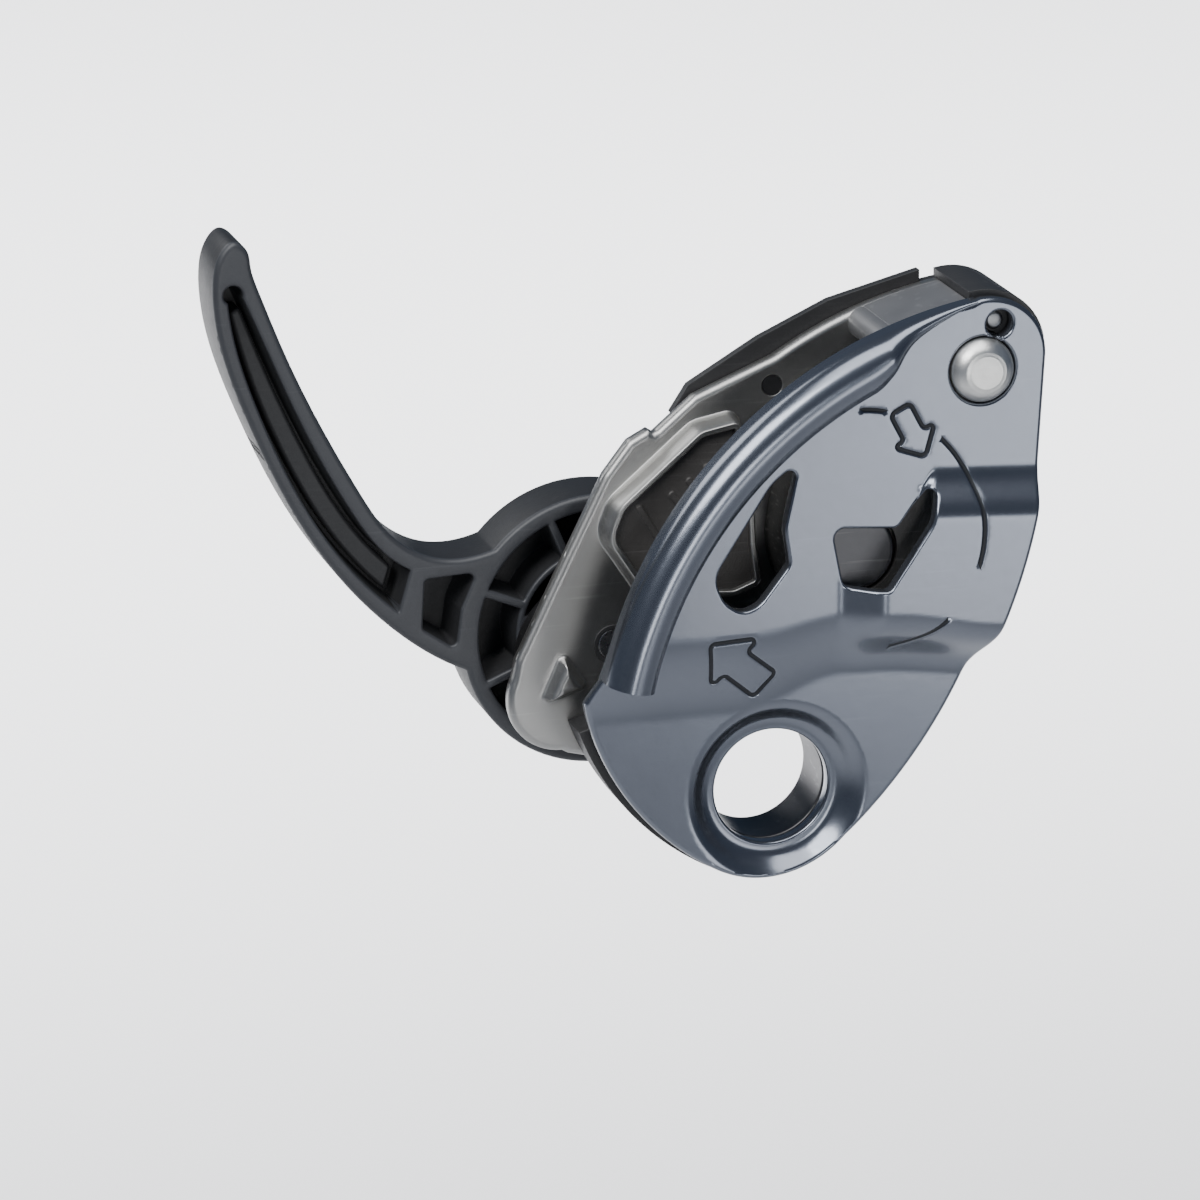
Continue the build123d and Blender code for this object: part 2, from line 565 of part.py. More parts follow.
def make_handle_lever():
    """Moulded handle: rim, pockets, hub with spokes and the pivot's boss."""
    shape = lever_outline() + Pos(HANDLE_X, HANDLE_Z) * Circle(HUB_R)
    body = slab(shape, HANDLE_Y, HANDLE_REAR_Y)
    floor = HANDLE_REAR_Y - POCKET_FLOOR
    body = body - slab(grip_pocket(), HANDLE_Y, floor) - slab(root_pocket(), HANDLE_Y, floor)
    outer_band = Circle(HUB_R - HUB_WALL) - Circle(RING_R)
    inner_band = Circle(RING_R - RING_T) - Circle(SLEEVE_R + BOSS_T)
    spokes = Sketch() + [Rot(0, 0, a) * Pos((RING_R + HUB_R) / 2, 0) * Rectangle(HUB_R - RING_R + 2 * RING_T, 1.3)
                         for a in (113, 158, 203, 248, 293, 338, 23, 68)]
    half_dog = degrees(atan2(DOG_R + 0.15, DOG_RADIUS))
    # inner ribs stop the dog at the open and at the stowed position
    stops = Sketch() + [Rot(0, 0, a) * Pos(DOG_RADIUS, 0) * Rectangle(RING_R - SLEEVE_R, 2.0)
                        for a in (DOG_AT - half_dog - 6.2, DOG_AT + HANDLE_FOLD + half_dog + 6.2, 170.0)]
    hollow = (outer_band - spokes) + (inner_band - stops)
    body = body - slab(Pos(HANDLE_X, HANDLE_Z) * hollow, HANDLE_Y, floor)
    body = body - disc(HANDLE_X, HANDLE_Z, SLEEVE_R + RUNNING, HANDLE_Y, HANDLE_REAR_Y)
    return body


def make_grip_panel():
    """Raised panel along the floor of the grip's pocket, clear of its walls."""
    floor = HANDLE_REAR_Y - POCKET_FLOOR
    left, right = grip_sides()
    near = [(left @ t) * 0.82 + (right @ t) * 0.18 for t in (0.04, 0.25, 0.5, 0.75, 0.96)]
    far = [(left @ t) * 0.2 + (right @ t) * 0.8 for t in (0.96, 0.75, 0.5, 0.25, 0.04)]
    face = make_face(Spline(*near) + Line(near[-1], far[0]) + Spline(*far) + Line(far[-1], near[0]))
    return slab(face, floor - GRIP_PANEL_T, floor)


def make_handle_pivot():
    """Shouldered pivot: thin tip in the ear, shaft, and rear head."""
    tip = disc(HANDLE_X, HANDLE_Z, PIVOT_TIP_R, FIXED_Y - 0.1, REAR_Y)
    shaft = disc(HANDLE_X, HANDLE_Z, PIVOT_R, REAR_Y, HANDLE_REAR_Y + 0.8)
    head = disc(HANDLE_X, HANDLE_Z, 6.6, HANDLE_REAR_Y + 0.8, HANDLE_REAR_Y + 2.2)
    head = chamfer(head.edges().sort_by(Axis.Y)[-1], 0.7)
    return tip + shaft + head


def make_pivot_ring():
    """Thin ring round the pivot's tip in the ear."""
    return ring(HANDLE_X, HANDLE_Z, PIVOT_TIP_R + 0.7, PIVOT_TIP_R, FIXED_Y - 0.2, FIXED_Y + 0.8)


def make_pivot_washer():
    """Washer between the handle and the pivot's head."""
    return ring(HANDLE_X, HANDLE_Z, 8.2, PIVOT_R, HANDLE_REAR_Y + 0.15, HANDLE_REAR_Y + 0.8)


# ----------------------------------------------------------------- rear cover
def dome_outline(inset=0.0):
    """Hollow of the rear cover over the arm and the axle's end."""
    face = patch((-7, 11.8), (8.5, 10.9), (24, 23), (29.0, 40), (26.5, 51.5), (12, 55.0), (-5, 47), corner=4.0)
    return offset(face, -inset) if inset else face


def make_back_cover():
    """Moulded rear cover: a thin flange and a dome over the mechanism."""
    rear = REAR_Y + COVER_T
    shape = offset(OUTLINE, -0.9, kind=Kind.INTERSECTION)
    strip = patch((26, 73.6), (12, 69.9), (1.4, 65.0), (-9.4, 58.6), (-12.0, 54.6), (0, 40), (26, 60))
    face = (shape + strip) - patch((-60, -40), (60, -40), (60, 8), (20, 12.5), (8, 12.8), (-60, 12.8))
    face = face + dome_outline() - Pos(HANDLE_X, HANDLE_Z) * Circle(HUB_R + 2.0)
    cover = slab(face, REAR_Y, rear)
    dome = slab(dome_outline(), rear, DOME_Y)
    dome = fillet(dome.faces().sort_by(Axis.Y)[-1].edges(), 2.2)
    cover = cover + dome
    cover = cover - slab(dome_outline(1.8), REAR_Y, DOME_Y - 1.6)
    cover = cover - disc(HANDLE_X, HANDLE_Z, HUB_R + 2.0, REAR_Y, DOME_Y)
    cover = cover - disc(RIVET_X, RIVET_Z, RIVET_R + 1.5, REAR_Y, rear)
    for x, z in SCREWS.values():
        cover = cover - disc(x, z, SCREW_R, REAR_Y, rear)
    return cover


def make_cover_screw(name):
    """Round-headed screw with a hexagon socket."""
    x, z = SCREWS[name]
    rear = REAR_Y + COVER_T
    depth = FIXED_Y - 4 if name == "lower" else FIXED_Y
    head = disc(x, z, SCREW_HEAD_R, rear, rear + SCREW_HEAD_T)
    head = fillet(head.edges().sort_by(Axis.Y)[-1], 0.5)
    socket = slab(Pos(x, z) * RegularPolygon(1.2, 6), rear + 0.3, rear + SCREW_HEAD_T)
    return head - socket + disc(x, z, SCREW_R, depth, rear)


def make_parts():
    """Every node, by its name."""
    parts = {
        "fixed_plate": make_fixed_plate(),
        "plate_insert": make_plate_insert(),
        "lower_liner": make_lower_liner(),
        "attachment_bush": make_attachment_bush(),
        "friction_block": make_friction_block(),
        "friction_plate": make_friction_plate(),
        "corner_cap": make_corner_cap(),
        "stop_pin": make_stop_pin(),
        "block_pin_left": make_block_pin(BLOCK_PINS[0]),
        "block_pin_right": make_block_pin(BLOCK_PINS[1]),
        "side_plate_rivet": make_side_plate_rivet(),
        "rivet_spacer": make_rivet_spacer(),
        "cam_axle": make_cam_axle(),
        "cam_axle_clip": make_axle_clip(),
        "handle_pivot": make_handle_pivot(),
        "pivot_ring": make_pivot_ring(),
        "pivot_washer": make_pivot_washer(),
        "back_cover": make_back_cover(),
        "cam_spring": make_coil(CAM_X, CAM_Z, AXLE_R + 1.3, 0.8, DISC_Y + DISC_T + 1.8, 1.0, 0.85),
        "side_plate": make_side_plate(),
        "release_hub": make_release_hub(),
        "hub_dog": make_hub_dog(),
        "handle_spring": make_coil(HANDLE_X, HANDLE_Z, 5.8, 0.8, DISC_Y + 0.5, 1.2, 0.95),
        "drive_arm": make_drive_arm(),
        "drive_pin": make_drive_pin(),
        "cam_body": make_cam_body(),
        "cam_shoe": make_cam_shoe(),
        "cam_bush": make_cam_bush(),
        "handle_lever": make_handle_lever(),
        "grip_panel": make_grip_panel(),
    }
    for name in SCREWS:
        parts["cover_screw_" + name] = make_cover_screw(name)
    return parts


def main():
    """Write one STEP file for each node."""
    os.makedirs("parts", exist_ok=True)
    for name, shape in make_parts().items():
        shape.label = name
        export_step(shape, os.path.join("parts", name + ".step"))


if __name__ == "__main__":
    main()
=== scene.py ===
"""Looks of a belay device with an assisted brake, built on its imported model.

Every piece is made in metres in the model's own frame.  Sizes below are in
millimetres and pass through ``MM`` on their way into a mesh.
"""

from __future__ import annotations

import logging
import math
from dataclasses import dataclass, field
from enum import Enum
from typing import Callable, Iterable, Sequence

import bmesh
import bpy
import numpy as np
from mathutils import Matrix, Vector
from mathutils.geometry import delaunay_2d_cdt

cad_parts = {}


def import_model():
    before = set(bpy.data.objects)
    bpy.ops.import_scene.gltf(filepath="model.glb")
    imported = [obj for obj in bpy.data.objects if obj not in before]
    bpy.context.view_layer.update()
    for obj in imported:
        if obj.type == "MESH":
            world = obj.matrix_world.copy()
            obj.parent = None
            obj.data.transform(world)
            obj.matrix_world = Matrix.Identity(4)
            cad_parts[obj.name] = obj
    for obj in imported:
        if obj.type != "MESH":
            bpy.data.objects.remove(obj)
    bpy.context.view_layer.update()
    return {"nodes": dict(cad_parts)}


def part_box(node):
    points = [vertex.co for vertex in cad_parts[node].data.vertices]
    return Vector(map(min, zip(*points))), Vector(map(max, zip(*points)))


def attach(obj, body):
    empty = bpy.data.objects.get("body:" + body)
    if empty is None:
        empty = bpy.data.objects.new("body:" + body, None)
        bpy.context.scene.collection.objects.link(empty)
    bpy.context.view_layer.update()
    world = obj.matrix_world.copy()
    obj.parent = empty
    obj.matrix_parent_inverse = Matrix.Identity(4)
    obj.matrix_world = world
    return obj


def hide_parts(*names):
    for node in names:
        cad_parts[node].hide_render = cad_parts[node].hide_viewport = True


LOG = logging.getLogger("belay_device")
MM = 0.001

Point = tuple[float, float]
Loop = list[Point]
Height = Callable[[np.ndarray, np.ndarray], np.ndarray]


# ------------------------------------------------------------------ plane work
def ramp(value: np.ndarray | float) -> np.ndarray | float:
    """Ease from 0 to 1 with level ends."""
    t = np.clip(value, 0.0, 1.0)
    return t * t * t * (t * (6.0 * t - 15.0) + 10.0)


def polar(centre: Point, radius: float, angle: float) -> Point:
    """Point at an angle, in degrees, round a centre."""
    turn = math.radians(angle)
    return centre[0] + radius * math.cos(turn), centre[1] + radius * math.sin(turn)


def arc_through(first: Point, middle: Point, last: Point, step: float = 0.6) -> Loop:
    """Points along the arc through three points, without the last one.

    Args:
        first: Where the arc starts.
        middle: A point on the arc.
        last: Where the arc ends.
        step: Greatest distance between neighbours.

    Returns:
        The points, the first included.
    """
    a, b, c = (complex(*p) for p in (first, middle, last))
    w = (c - a) / (b - a)
    centre = (b - a) * (w - abs(w) ** 2) / (2j * w.imag) + a
    centre = complex(centre)
    start = math.atan2((a - centre).imag, (a - centre).real)
    mid = math.atan2((b - centre).imag, (b - centre).real)
    end = math.atan2((c - centre).imag, (c - centre).real)
    turn = (end - start) % math.tau
    if not (mid - start) % math.tau < turn:
        turn -= math.tau
    radius = abs(a - centre)
    count = max(2, round(abs(turn) * radius / step))
    return [(centre.real + radius * math.cos(start + turn * k / count),
             centre.imag + radius * math.sin(start + turn * k / count)) for k in range(count)]


def circle(centre: Point, radius: float, count: int = 72) -> Loop:
    """Closed circle of points."""
    return [polar(centre, radius, 360.0 * k / count) for k in range(count)]


def densify(loop: Sequence[Point], step: float = 0.6) -> Loop:
    """Close a loop's long sides up to a greatest step, and drop doubled points."""
    clean = [p for k, p in enumerate(loop) if math.dist(p, loop[k - 1]) > 0.02]
    out: Loop = []
    for k, a in enumerate(clean):
        b = clean[(k + 1) % len(clean)]
        count = max(1, math.ceil(math.dist(a, b) / step))
        out += [(a[0] + (b[0] - a[0]) * j / count, a[1] + (b[1] - a[1]) * j / count) for j in range(count)]
    return out


def rounded(points: Sequence[Point], corner: float | Sequence[float], step: float = 0.25) -> Loop:
    """Polygon with its corners rounded.

    Args:
        points: The corners.
        corner: Radius at each of them, or one for all.
        step: Spacing along the corners' arcs.

    Returns:
        The closed outline.
    """
    out: Loop = []
    for k, here in enumerate(points):
        p, a, b = Vector(here), Vector(points[k - 1]), Vector(points[(k + 1) % len(points)])
        u, v = (a - p).normalized(), (b - p).normalized()
        half = u.angle(v) / 2.0
        wanted = corner if isinstance(corner, (int, float)) else corner[k]
        reach = min(wanted / math.tan(half), 0.49 * (a - p).length, 0.49 * (b - p).length)
        radius = reach * math.tan(half)
        centre = p + (u + v).normalized() * (radius / math.sin(half))
        start, end = p + u * reach, p + v * reach
        middle = centre + (p - centre).normalized() * radius
        out += arc_through(tuple(start), tuple(middle), tuple(end), step) + [tuple(end)]
    return out


def area(loop: Sequence[Point]) -> float:
    """Signed area, positive for a loop that runs anticlockwise."""
    return 0.5 * sum(a[0] * b[1] - b[0] * a[1] for a, b in zip(loop, list(loop[1:]) + [loop[0]]))


def inset(loop: Sequence[Point], distance: float) -> Loop:
    """Loop moved inwards along its normals; a negative distance moves it outwards."""
    side = 1.0 if area(loop) > 0 else -1.0
    out: Loop = []
    for k, p in enumerate(loop):
        a, b = loop[k - 1], loop[(k + 1) % len(loop)]
        u = Vector((p[0] - a[0], p[1] - a[1])).normalized()
        v = Vector((b[0] - p[0], b[1] - p[1])).normalized()
        n = Vector((-(u.y + v.y), u.x + v.x)) * side
        if n.length < 1e-6:
            n = Vector((-u.y, u.x)) * side
        n.normalize()
        miter = 1.0 / max(0.6, n.dot(Vector((-u.y, u.x)) * side))
        out.append((p[0] + n.x * distance * miter, p[1] + n.y * distance * miter))
    return out


def inside_distance(loop: Sequence[Point], x: np.ndarray, z: np.ndarray) -> np.ndarray:
    """Distance to a loop at many points, positive inside it.

    Args:
        loop: The closed outline.
        x: First coordinates.
        z: Second coordinates.

    Returns:
        One distance for each point.
    """
    a = np.array(loop, float)
    b = np.roll(a, -1, axis=0)
    px, pz = x[:, None], z[:, None]
    dx, dz = b[:, 0] - a[:, 0], b[:, 1] - a[:, 1]
    t = np.clip(((px - a[:, 0]) * dx + (pz - a[:, 1]) * dz) / np.maximum(dx * dx + dz * dz, 1e-12), 0, 1)
    far = np.hypot(px - a[:, 0] - t * dx, pz - a[:, 1] - t * dz).min(axis=1)
    crosses = (a[:, 1] > pz) != (b[:, 1] > pz)
    with np.errstate(divide="ignore", invalid="ignore"):
        at = a[:, 0] + (pz - a[:, 1]) * dx / np.where(dz == 0, 1e-12, dz)
    odd = (crosses & (px < at)).sum(axis=1) % 2 == 1
    return np.where(odd, far, -far)


def flat_loops(node: bpy.types.Object, level: float) -> list[Loop]:
    """Outlines of a model node's flat faces at one level, the longest first.

    Args:
        node: The node's object.
        level: Where the faces lie along Y, in millimetres.

    Returns:
        The closed loops in the XZ plane, in millimetres.
    """
    mesh = bmesh.new()
    mesh.from_mesh(node.data)
    bmesh.ops.remove_doubles(mesh, verts=mesh.verts, dist=2e-6)
    flat = {f for f in mesh.faces if all(abs(v.co.y / MM - level) < 0.01 for v in f.verts)}
    following: dict[bmesh.types.BMVert, list[bmesh.types.BMVert]] = {}
    for edge in mesh.edges:
        if sum(f in flat for f in edge.link_faces) == 1:
            a, b = edge.verts
            following.setdefault(a, []).append(b)
            following.setdefault(b, []).append(a)
    loops: list[Loop] = []
    unused = set(following)
    while unused:
        start = min(unused, key=lambda v: tuple(v.co))
        chain, here, before = [start], start, None
        while True:
            unused.discard(here)
            onward = [v for v in following[here] if v is not before and (v in unused or v is start)]
            closes = start in following[here] and len(chain) > 2
            onward = [v for v in onward if v in unused] or ([start] if closes else [])
            if not onward or onward[0] is start:
                break
            before, here = here, onward[0]
            chain.append(here)
        if len(chain) > 2:
            loops.append([(v.co.x / MM, v.co.z / MM) for v in chain])
    mesh.free()
    return sorted(loops, key=lambda loop: -abs(area(loop)))

def add_node(tree: bpy.types.NodeTree, kind: str, links: dict[str | int, bpy.types.NodeSocket] | None = None,
             values: dict[str | int, object] | None = None, **settings: object) -> bpy.types.Node:
    """Add a node, set it up and wire its inputs.

    Args:
        tree: The tree.
        kind: Type of the node.
        links: Socket that feeds each linked input.
        values: Value of each fixed input.
        **settings: Properties of the node.

    Returns:
        The new node.
    """
    node = tree.nodes.new(kind)
    for key, value in settings.items():
        setattr(node, key, value)
    for key, value in (values or {}).items():
        node.inputs[key].default_value = value
    for key, socket in (links or {}).items():
        tree.links.new(socket, node.inputs[key])
    return node


def arithmetic(tree: bpy.types.NodeTree, operation: str, *terms: bpy.types.NodeSocket | float) -> bpy.types.NodeSocket:
    """Result of a math node whose terms are sockets or numbers."""
    node = tree.nodes.new("ShaderNodeMath")
    node.operation = operation
    for k, term in enumerate(terms):
        if isinstance(term, float):
            node.inputs[k].default_value = term
        else:
            tree.links.new(term, node.inputs[k])
    return node.outputs[0]



# -------------------------------------------------------------------- finishes
FINE_CLOUD = 0.9  # mm, size of the finer cloud in the gloss
GLOSS_SPREAD = (0.82, 1.22)  # shares of the roughness that the clouds run between
SCRATCH_LEANS = (0.6, -0.9)  # rad, turn of each set of hairlines
SCRATCH_STRETCH = (60.0, 400.0, 1900.0)  # scale of the hairlines' noise along each axis
SCRATCH_CUT = (0.66, 0.8)  # noise values at which a hairline starts and is full
BUMP_HEIGHT = 0.1  # mm, height that a bump of strength 1 stands for


class Grain(Enum):
    """What the fine relief of a finish looks like."""

    SMOOTH = "smooth"
    SPARK = "spark eroded"
    BRUSHED = "brushed"
    PEEL = "orange peel"


@dataclass(frozen=True)
class Finish:
    """One finish: its colour, gloss, fine relief and the wear on it."""

    name: str
    colour: tuple[float, float, float]
    metallic: float
    roughness: float
    grain: Grain = Grain.SMOOTH
    grain_size: float = 0.25
    relief: float = 0.1
    mottle: float = 0.12
    mottle_size: float = 9.0
    coat: float = 0.0
    coat_roughness: float = 0.08
    scuff: float = 0.25
    scuff_colour: tuple[float, float, float] = (0.5, 0.5, 0.5)
    specular: float = 0.5

    def material(self) -> bpy.types.Material:
        """Build the finish once and give it back after that.

        Returns:
            The node material.
        """
        made = bpy.data.materials.get(self.name)
        if made:
            return made
        made = bpy.data.materials.new(self.name)
        made.use_nodes = True
        tree = made.node_tree
        shader = tree.nodes["Principled BSDF"]
        for key, value in (("Metallic", self.metallic), ("Coat Weight", self.coat),
                           ("Coat Roughness", self.coat_roughness), ("Specular IOR Level", self.specular)):
            shader.inputs[key].default_value = value
        place = tree.nodes.new("ShaderNodeTexCoord").outputs["Object"]
        cloud = self._noise(tree, place, 1.0 / (self.mottle_size * MM), 4.0)
        fine = self._noise(tree, place, 1.0 / (FINE_CLOUD * MM), 3.0)
        tint = self._mix(tree, [c * (1.0 - self.mottle) for c in self.colour],
                         [min(1.0, c * (1.0 + self.mottle)) for c in self.colour], cloud)
        scratches = self._scratches(tree, place)
        worn = arithmetic(tree, "MULTIPLY", scratches, self.scuff)
        tree.links.new(self._mix(tree, None, self.scuff_colour, worn, tint), shader.inputs["Base Color"])
        share = arithmetic(tree, "MULTIPLY_ADD", cloud, 0.5, arithmetic(tree, "MULTIPLY", fine, 0.5))
        rough = add_node(tree, "ShaderNodeMapRange", {"Value": share},
                         {"To Min": self.roughness * GLOSS_SPREAD[0], "To Max": self.roughness * GLOSS_SPREAD[1]})
        tree.links.new(rough.outputs["Result"], shader.inputs["Roughness"])
        self._relief(tree, place, scratches, shader)
        return made

    @staticmethod
    def _noise(tree: bpy.types.NodeTree, place: bpy.types.NodeSocket, scale: float, detail: float,
               stretch: tuple[float, float, float] | None = None) -> bpy.types.NodeSocket:
        """Noise at a scale, stretched along an axis if asked."""
        if stretch:
            place = add_node(tree, "ShaderNodeMapping", {"Vector": place}, {"Scale": stretch}).outputs["Vector"]
        noise = add_node(tree, "ShaderNodeTexNoise", {"Vector": place}, {"Scale": scale, "Detail": detail})
        return noise.outputs["Fac"]

    @staticmethod
    def _mix(tree: bpy.types.NodeTree, low: Sequence[float] | None, high: Sequence[float],
             factor: bpy.types.NodeSocket, socket: bpy.types.NodeSocket | None = None) -> bpy.types.NodeSocket:
        """Mix of two colours, or of a colour socket and a colour."""
        mix = add_node(tree, "ShaderNodeMix", {0: factor}, {7: (*high, 1.0)}, data_type="RGBA")
        if socket:
            tree.links.new(socket, mix.inputs[6])
        elif low:
            mix.inputs[6].default_value = (*low, 1.0)
        return mix.outputs[2]

    def _scratches(self, tree: bpy.types.NodeTree, place: bpy.types.NodeSocket) -> bpy.types.NodeSocket:
        """Thin broken hairlines in two directions."""
        lines = []
        for turn in SCRATCH_LEANS:
            lean = add_node(tree, "ShaderNodeMapping", {"Vector": place},
                            {"Rotation": (0.0, turn, 0.0), "Scale": SCRATCH_STRETCH})
            noise = self._noise(tree, lean.outputs["Vector"], 1.0, 1.0)
            cut = add_node(tree, "ShaderNodeMapRange", {"Value": noise},
                           {"From Min": SCRATCH_CUT[0], "From Max": SCRATCH_CUT[1]})
            lines.append(cut.outputs["Result"])
        return arithmetic(tree, "MAXIMUM", *lines)

    def _relief(self, tree: bpy.types.NodeTree, place: bpy.types.NodeSocket,
                scratches: bpy.types.NodeSocket, shader: bpy.types.Node) -> None:
        """Fine relief of the surface as a bump."""
        stretch = {Grain.BRUSHED: (1.0, 1.0, 14.0)}.get(self.grain)
        detail = {Grain.SPARK: 5.0, Grain.PEEL: 1.0, Grain.BRUSHED: 3.0, Grain.SMOOTH: 2.0}[self.grain]
        grain = self._noise(tree, place, 1.0 / (self.grain_size * MM), detail, stretch)
        joined = arithmetic(tree, "MULTIPLY_ADD", scratches, -self.scuff, grain)
        bump = add_node(tree, "ShaderNodeBump", {"Height": joined},
                        {"Strength": self.relief, "Distance": BUMP_HEIGHT * MM})
        for key in ("Normal", "Coat Normal") if self.coat else ("Normal",):
            tree.links.new(bump.outputs["Normal"], shader.inputs[key])


SHEET_PAINT = Finish("Sheet_dark_blue_grey", (0.165, 0.18, 0.212), 0.88, 0.23, Grain.PEEL, 1.6, 0.06,
                     0.05, 14.0, 0.35, 0.06, 0.04, (0.42, 0.45, 0.5))
ENGRAVED = Finish("Engraved_dark", (0.012, 0.014, 0.018), 0.3, 0.5, Grain.SPARK, 0.2, 0.1, 0.1, 3.0, scuff=0.0)
# Lighter tone on the lip's rounded free edge, a painted highlight along it.
LIP_EDGE_HIGHLIGHT = Finish("Sheet_edge_painted_highlight", (0.30, 0.34, 0.40), 0.9, 0.28, Grain.BRUSHED, 0.3, 0.2, 0.1, 2.0, scuff=0.15)
SILVER_PLATE = Finish("Plate_satin_silver", (0.36, 0.357, 0.345), 0.95, 0.36, Grain.BRUSHED, 0.22, 0.10,
                      0.07, 10.0, 0.0, 0.1, 0.20, (0.66, 0.66, 0.65))
GREY_BLOCK = Finish("Block_satin_grey", (0.27, 0.27, 0.275), 0.75, 0.42, Grain.SPARK, 0.25, 0.12, 0.08, 6.0,
                    scuff=0.25, scuff_colour=(0.55, 0.55, 0.55))
BLACK_MOULDING = Finish("Moulding_matt_black", (0.022, 0.022, 0.023), 0.0, 0.5, Grain.SPARK, 0.32, 0.30, 0.18, 7.0,
                        scuff=0.22, scuff_colour=(0.075, 0.075, 0.076))
INSERT_GREY = Finish("Insert_worn_charcoal", (0.05, 0.047, 0.044), 0.0, 0.52, Grain.SPARK, 0.3, 0.55, 0.3, 4.0,
                     scuff=0.45, scuff_colour=(0.13, 0.125, 0.12))
HANDLE_NYLON = Finish("Handle_filled_nylon", (0.034, 0.036, 0.041), 0.0, 0.43, Grain.SPARK, 0.35, 0.24, 0.15, 12.0,
                      scuff=0.18, scuff_colour=(0.09, 0.093, 0.1))
# Darker nylon for the grip panel and for the lever's pocket walls and floors, where it is painted shade in the
# recesses.
PANEL_AND_POCKET_SHADE_NYLON = Finish("Handle_panel_and_pocket_shade_nylon", (0.016, 0.0165, 0.018), 0.0, 0.5, Grain.SPARK, 0.4, 0.30, 0.2, 8.0,
                      scuff=0.2, scuff_colour=(0.04, 0.04, 0.042))
RIVET_STEEL = Finish("Rivet_turned_steel", (0.66, 0.66, 0.64), 0.95, 0.36, Grain.SMOOTH, 0.2, 0.18, 0.12, 1.4,
                     scuff=0.25, scuff_colour=(0.8, 0.8, 0.79))
STAINLESS = Finish("Stainless_satin", (0.56, 0.555, 0.545), 1.0, 0.27, Grain.BRUSHED, 0.18, 0.10, 0.08, 3.0,
                   scuff=0.2, scuff_colour=(0.72, 0.72, 0.71))
PIN_STEEL = Finish("Pin_grey_steel", (0.33, 0.335, 0.345), 0.95, 0.4, Grain.SPARK, 0.2, 0.2, 0.1, 1.0, scuff=0.2)
DARK_STEEL = Finish("Mechanism_dark_steel", (0.10, 0.10, 0.104), 0.95, 0.38, Grain.BRUSHED, 0.2, 0.12, 0.1, 4.0,
                    scuff=0.3, scuff_colour=(0.34, 0.34, 0.34))
SPRING_STEEL = Finish("Spring_blued_steel", (0.30, 0.29, 0.28), 1.0, 0.25, Grain.SMOOTH, 0.2, 0.05, 0.1, 1.0, scuff=0.1)
CAM_STEEL = Finish("Cam_cast_steel", (0.10, 0.098, 0.095), 0.8, 0.45, Grain.SPARK, 0.4, 0.30, 0.15, 4.0,
                   scuff=0.35, scuff_colour=(0.5, 0.5, 0.48))
BRONZE = Finish("Bearing_bronze", (0.42, 0.27, 0.13), 1.0, 0.33, Grain.BRUSHED, 0.2, 0.1, 0.12, 2.0, scuff=0.2,
                scuff_colour=(0.6, 0.42, 0.22))


# --------------------------------------------------------------------- builders
def register(name: str, mesh: bpy.types.Mesh, *finishes: Finish) -> bpy.types.Object:
    """Put a mesh in the scene with its finishes.

    Args:
        name: Name of the piece.
        mesh: Its mesh, in metres.
        *finishes: One finish for each material index.

    Returns:
        The new object, at the origin.
    """
    piece = bpy.data.objects.new(name, mesh)
    bpy.context.scene.collection.objects.link(piece)
    for finish in finishes:
        mesh.materials.append(finish.material())
    return piece


def settle(piece: bpy.types.Object, body: str, slot: str, *nodes: str) -> bpy.types.Object:
    """Hang a piece on its body, and let it stand for model nodes.

    Args:
        piece: The finished piece.
        body: Body that it rides on.
        slot: Material slot name; not used.
        *nodes: Model nodes that it stands for.

    Returns:
        The same piece.
    """
    if nodes:
        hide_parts(*nodes)
    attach(piece, body)
    LOG.info("%s rides on %s, %d faces", piece.name, body, len(piece.data.polygons))
    return piece


def plain_mesh(piece: bpy.types.Object) -> bpy.types.Object:
    """Apply a piece's modifiers and leave it a plain mesh."""
    graph = bpy.context.evaluated_depsgraph_get()
    baked = bpy.data.meshes.new_from_object(piece.evaluated_get(graph), preserve_all_data_layers=True, depsgraph=graph)
    old = piece.data
    piece.modifiers.clear()
    piece.data = baked
    if old.users == 0:
        bpy.data.meshes.remove(old)
    return piece


def turned(name: str, profile: Sequence[Point], place: tuple[float, float], *finishes: Finish,
           count: int = 72, smooth: float = 40.0) -> bpy.types.Object:
    """Turned piece with its axis along Y.

    Args:
        name: Name of the piece.
        profile: (radius, y) down the outside from pole to pole.
        place: Where the axis is, as (x, z).
        *finishes: Finishes of the piece.
        count: Facets round the axis.
        smooth: Greatest angle, in degrees, that is shaded smooth.

    Returns:
        The new object.
    """
    mesh = bmesh.new()
    rings = []
    for radius, y in profile:
        if radius < 1e-6:
            rings.append([mesh.verts.new((place[0] * MM, y * MM, place[1] * MM))])
        else:
            rings.append([mesh.verts.new((x * MM, y * MM, z * MM)) for x, z in circle(place, radius, count)])
    for low, high in zip(rings, rings[1:]):
        for k in range(count):
            j = (k + 1) % count
            if len(low) == 1 and len(high) == 1:
                continue
            if len(low) == 1:
                mesh.faces.new((low[0], high[k], high[j]))
            elif len(high) == 1:
                mesh.faces.new((low[k], low[j], high[0]))
            else:
                mesh.faces.new((low[k], low[j], high[j], high[k]))
    bmesh.ops.recalc_face_normals(mesh, faces=mesh.faces)
    return register(name, finish_mesh(name, mesh, smooth), *finishes)


def finish_mesh(name: str, mesh: bmesh.types.BMesh, smooth: float = 40.0) -> bpy.types.Mesh:
    """Turn mesh work into a mesh with smooth shading and sharp edges past an angle."""
    limit = math.radians(smooth)
    for face in mesh.faces:
        face.smooth = True
    for edge in mesh.edges:
        edge.smooth = edge.calc_face_angle(0.0) < limit
    out = bpy.data.meshes.new(name)
    mesh.to_mesh(out)
    mesh.free()
    return out


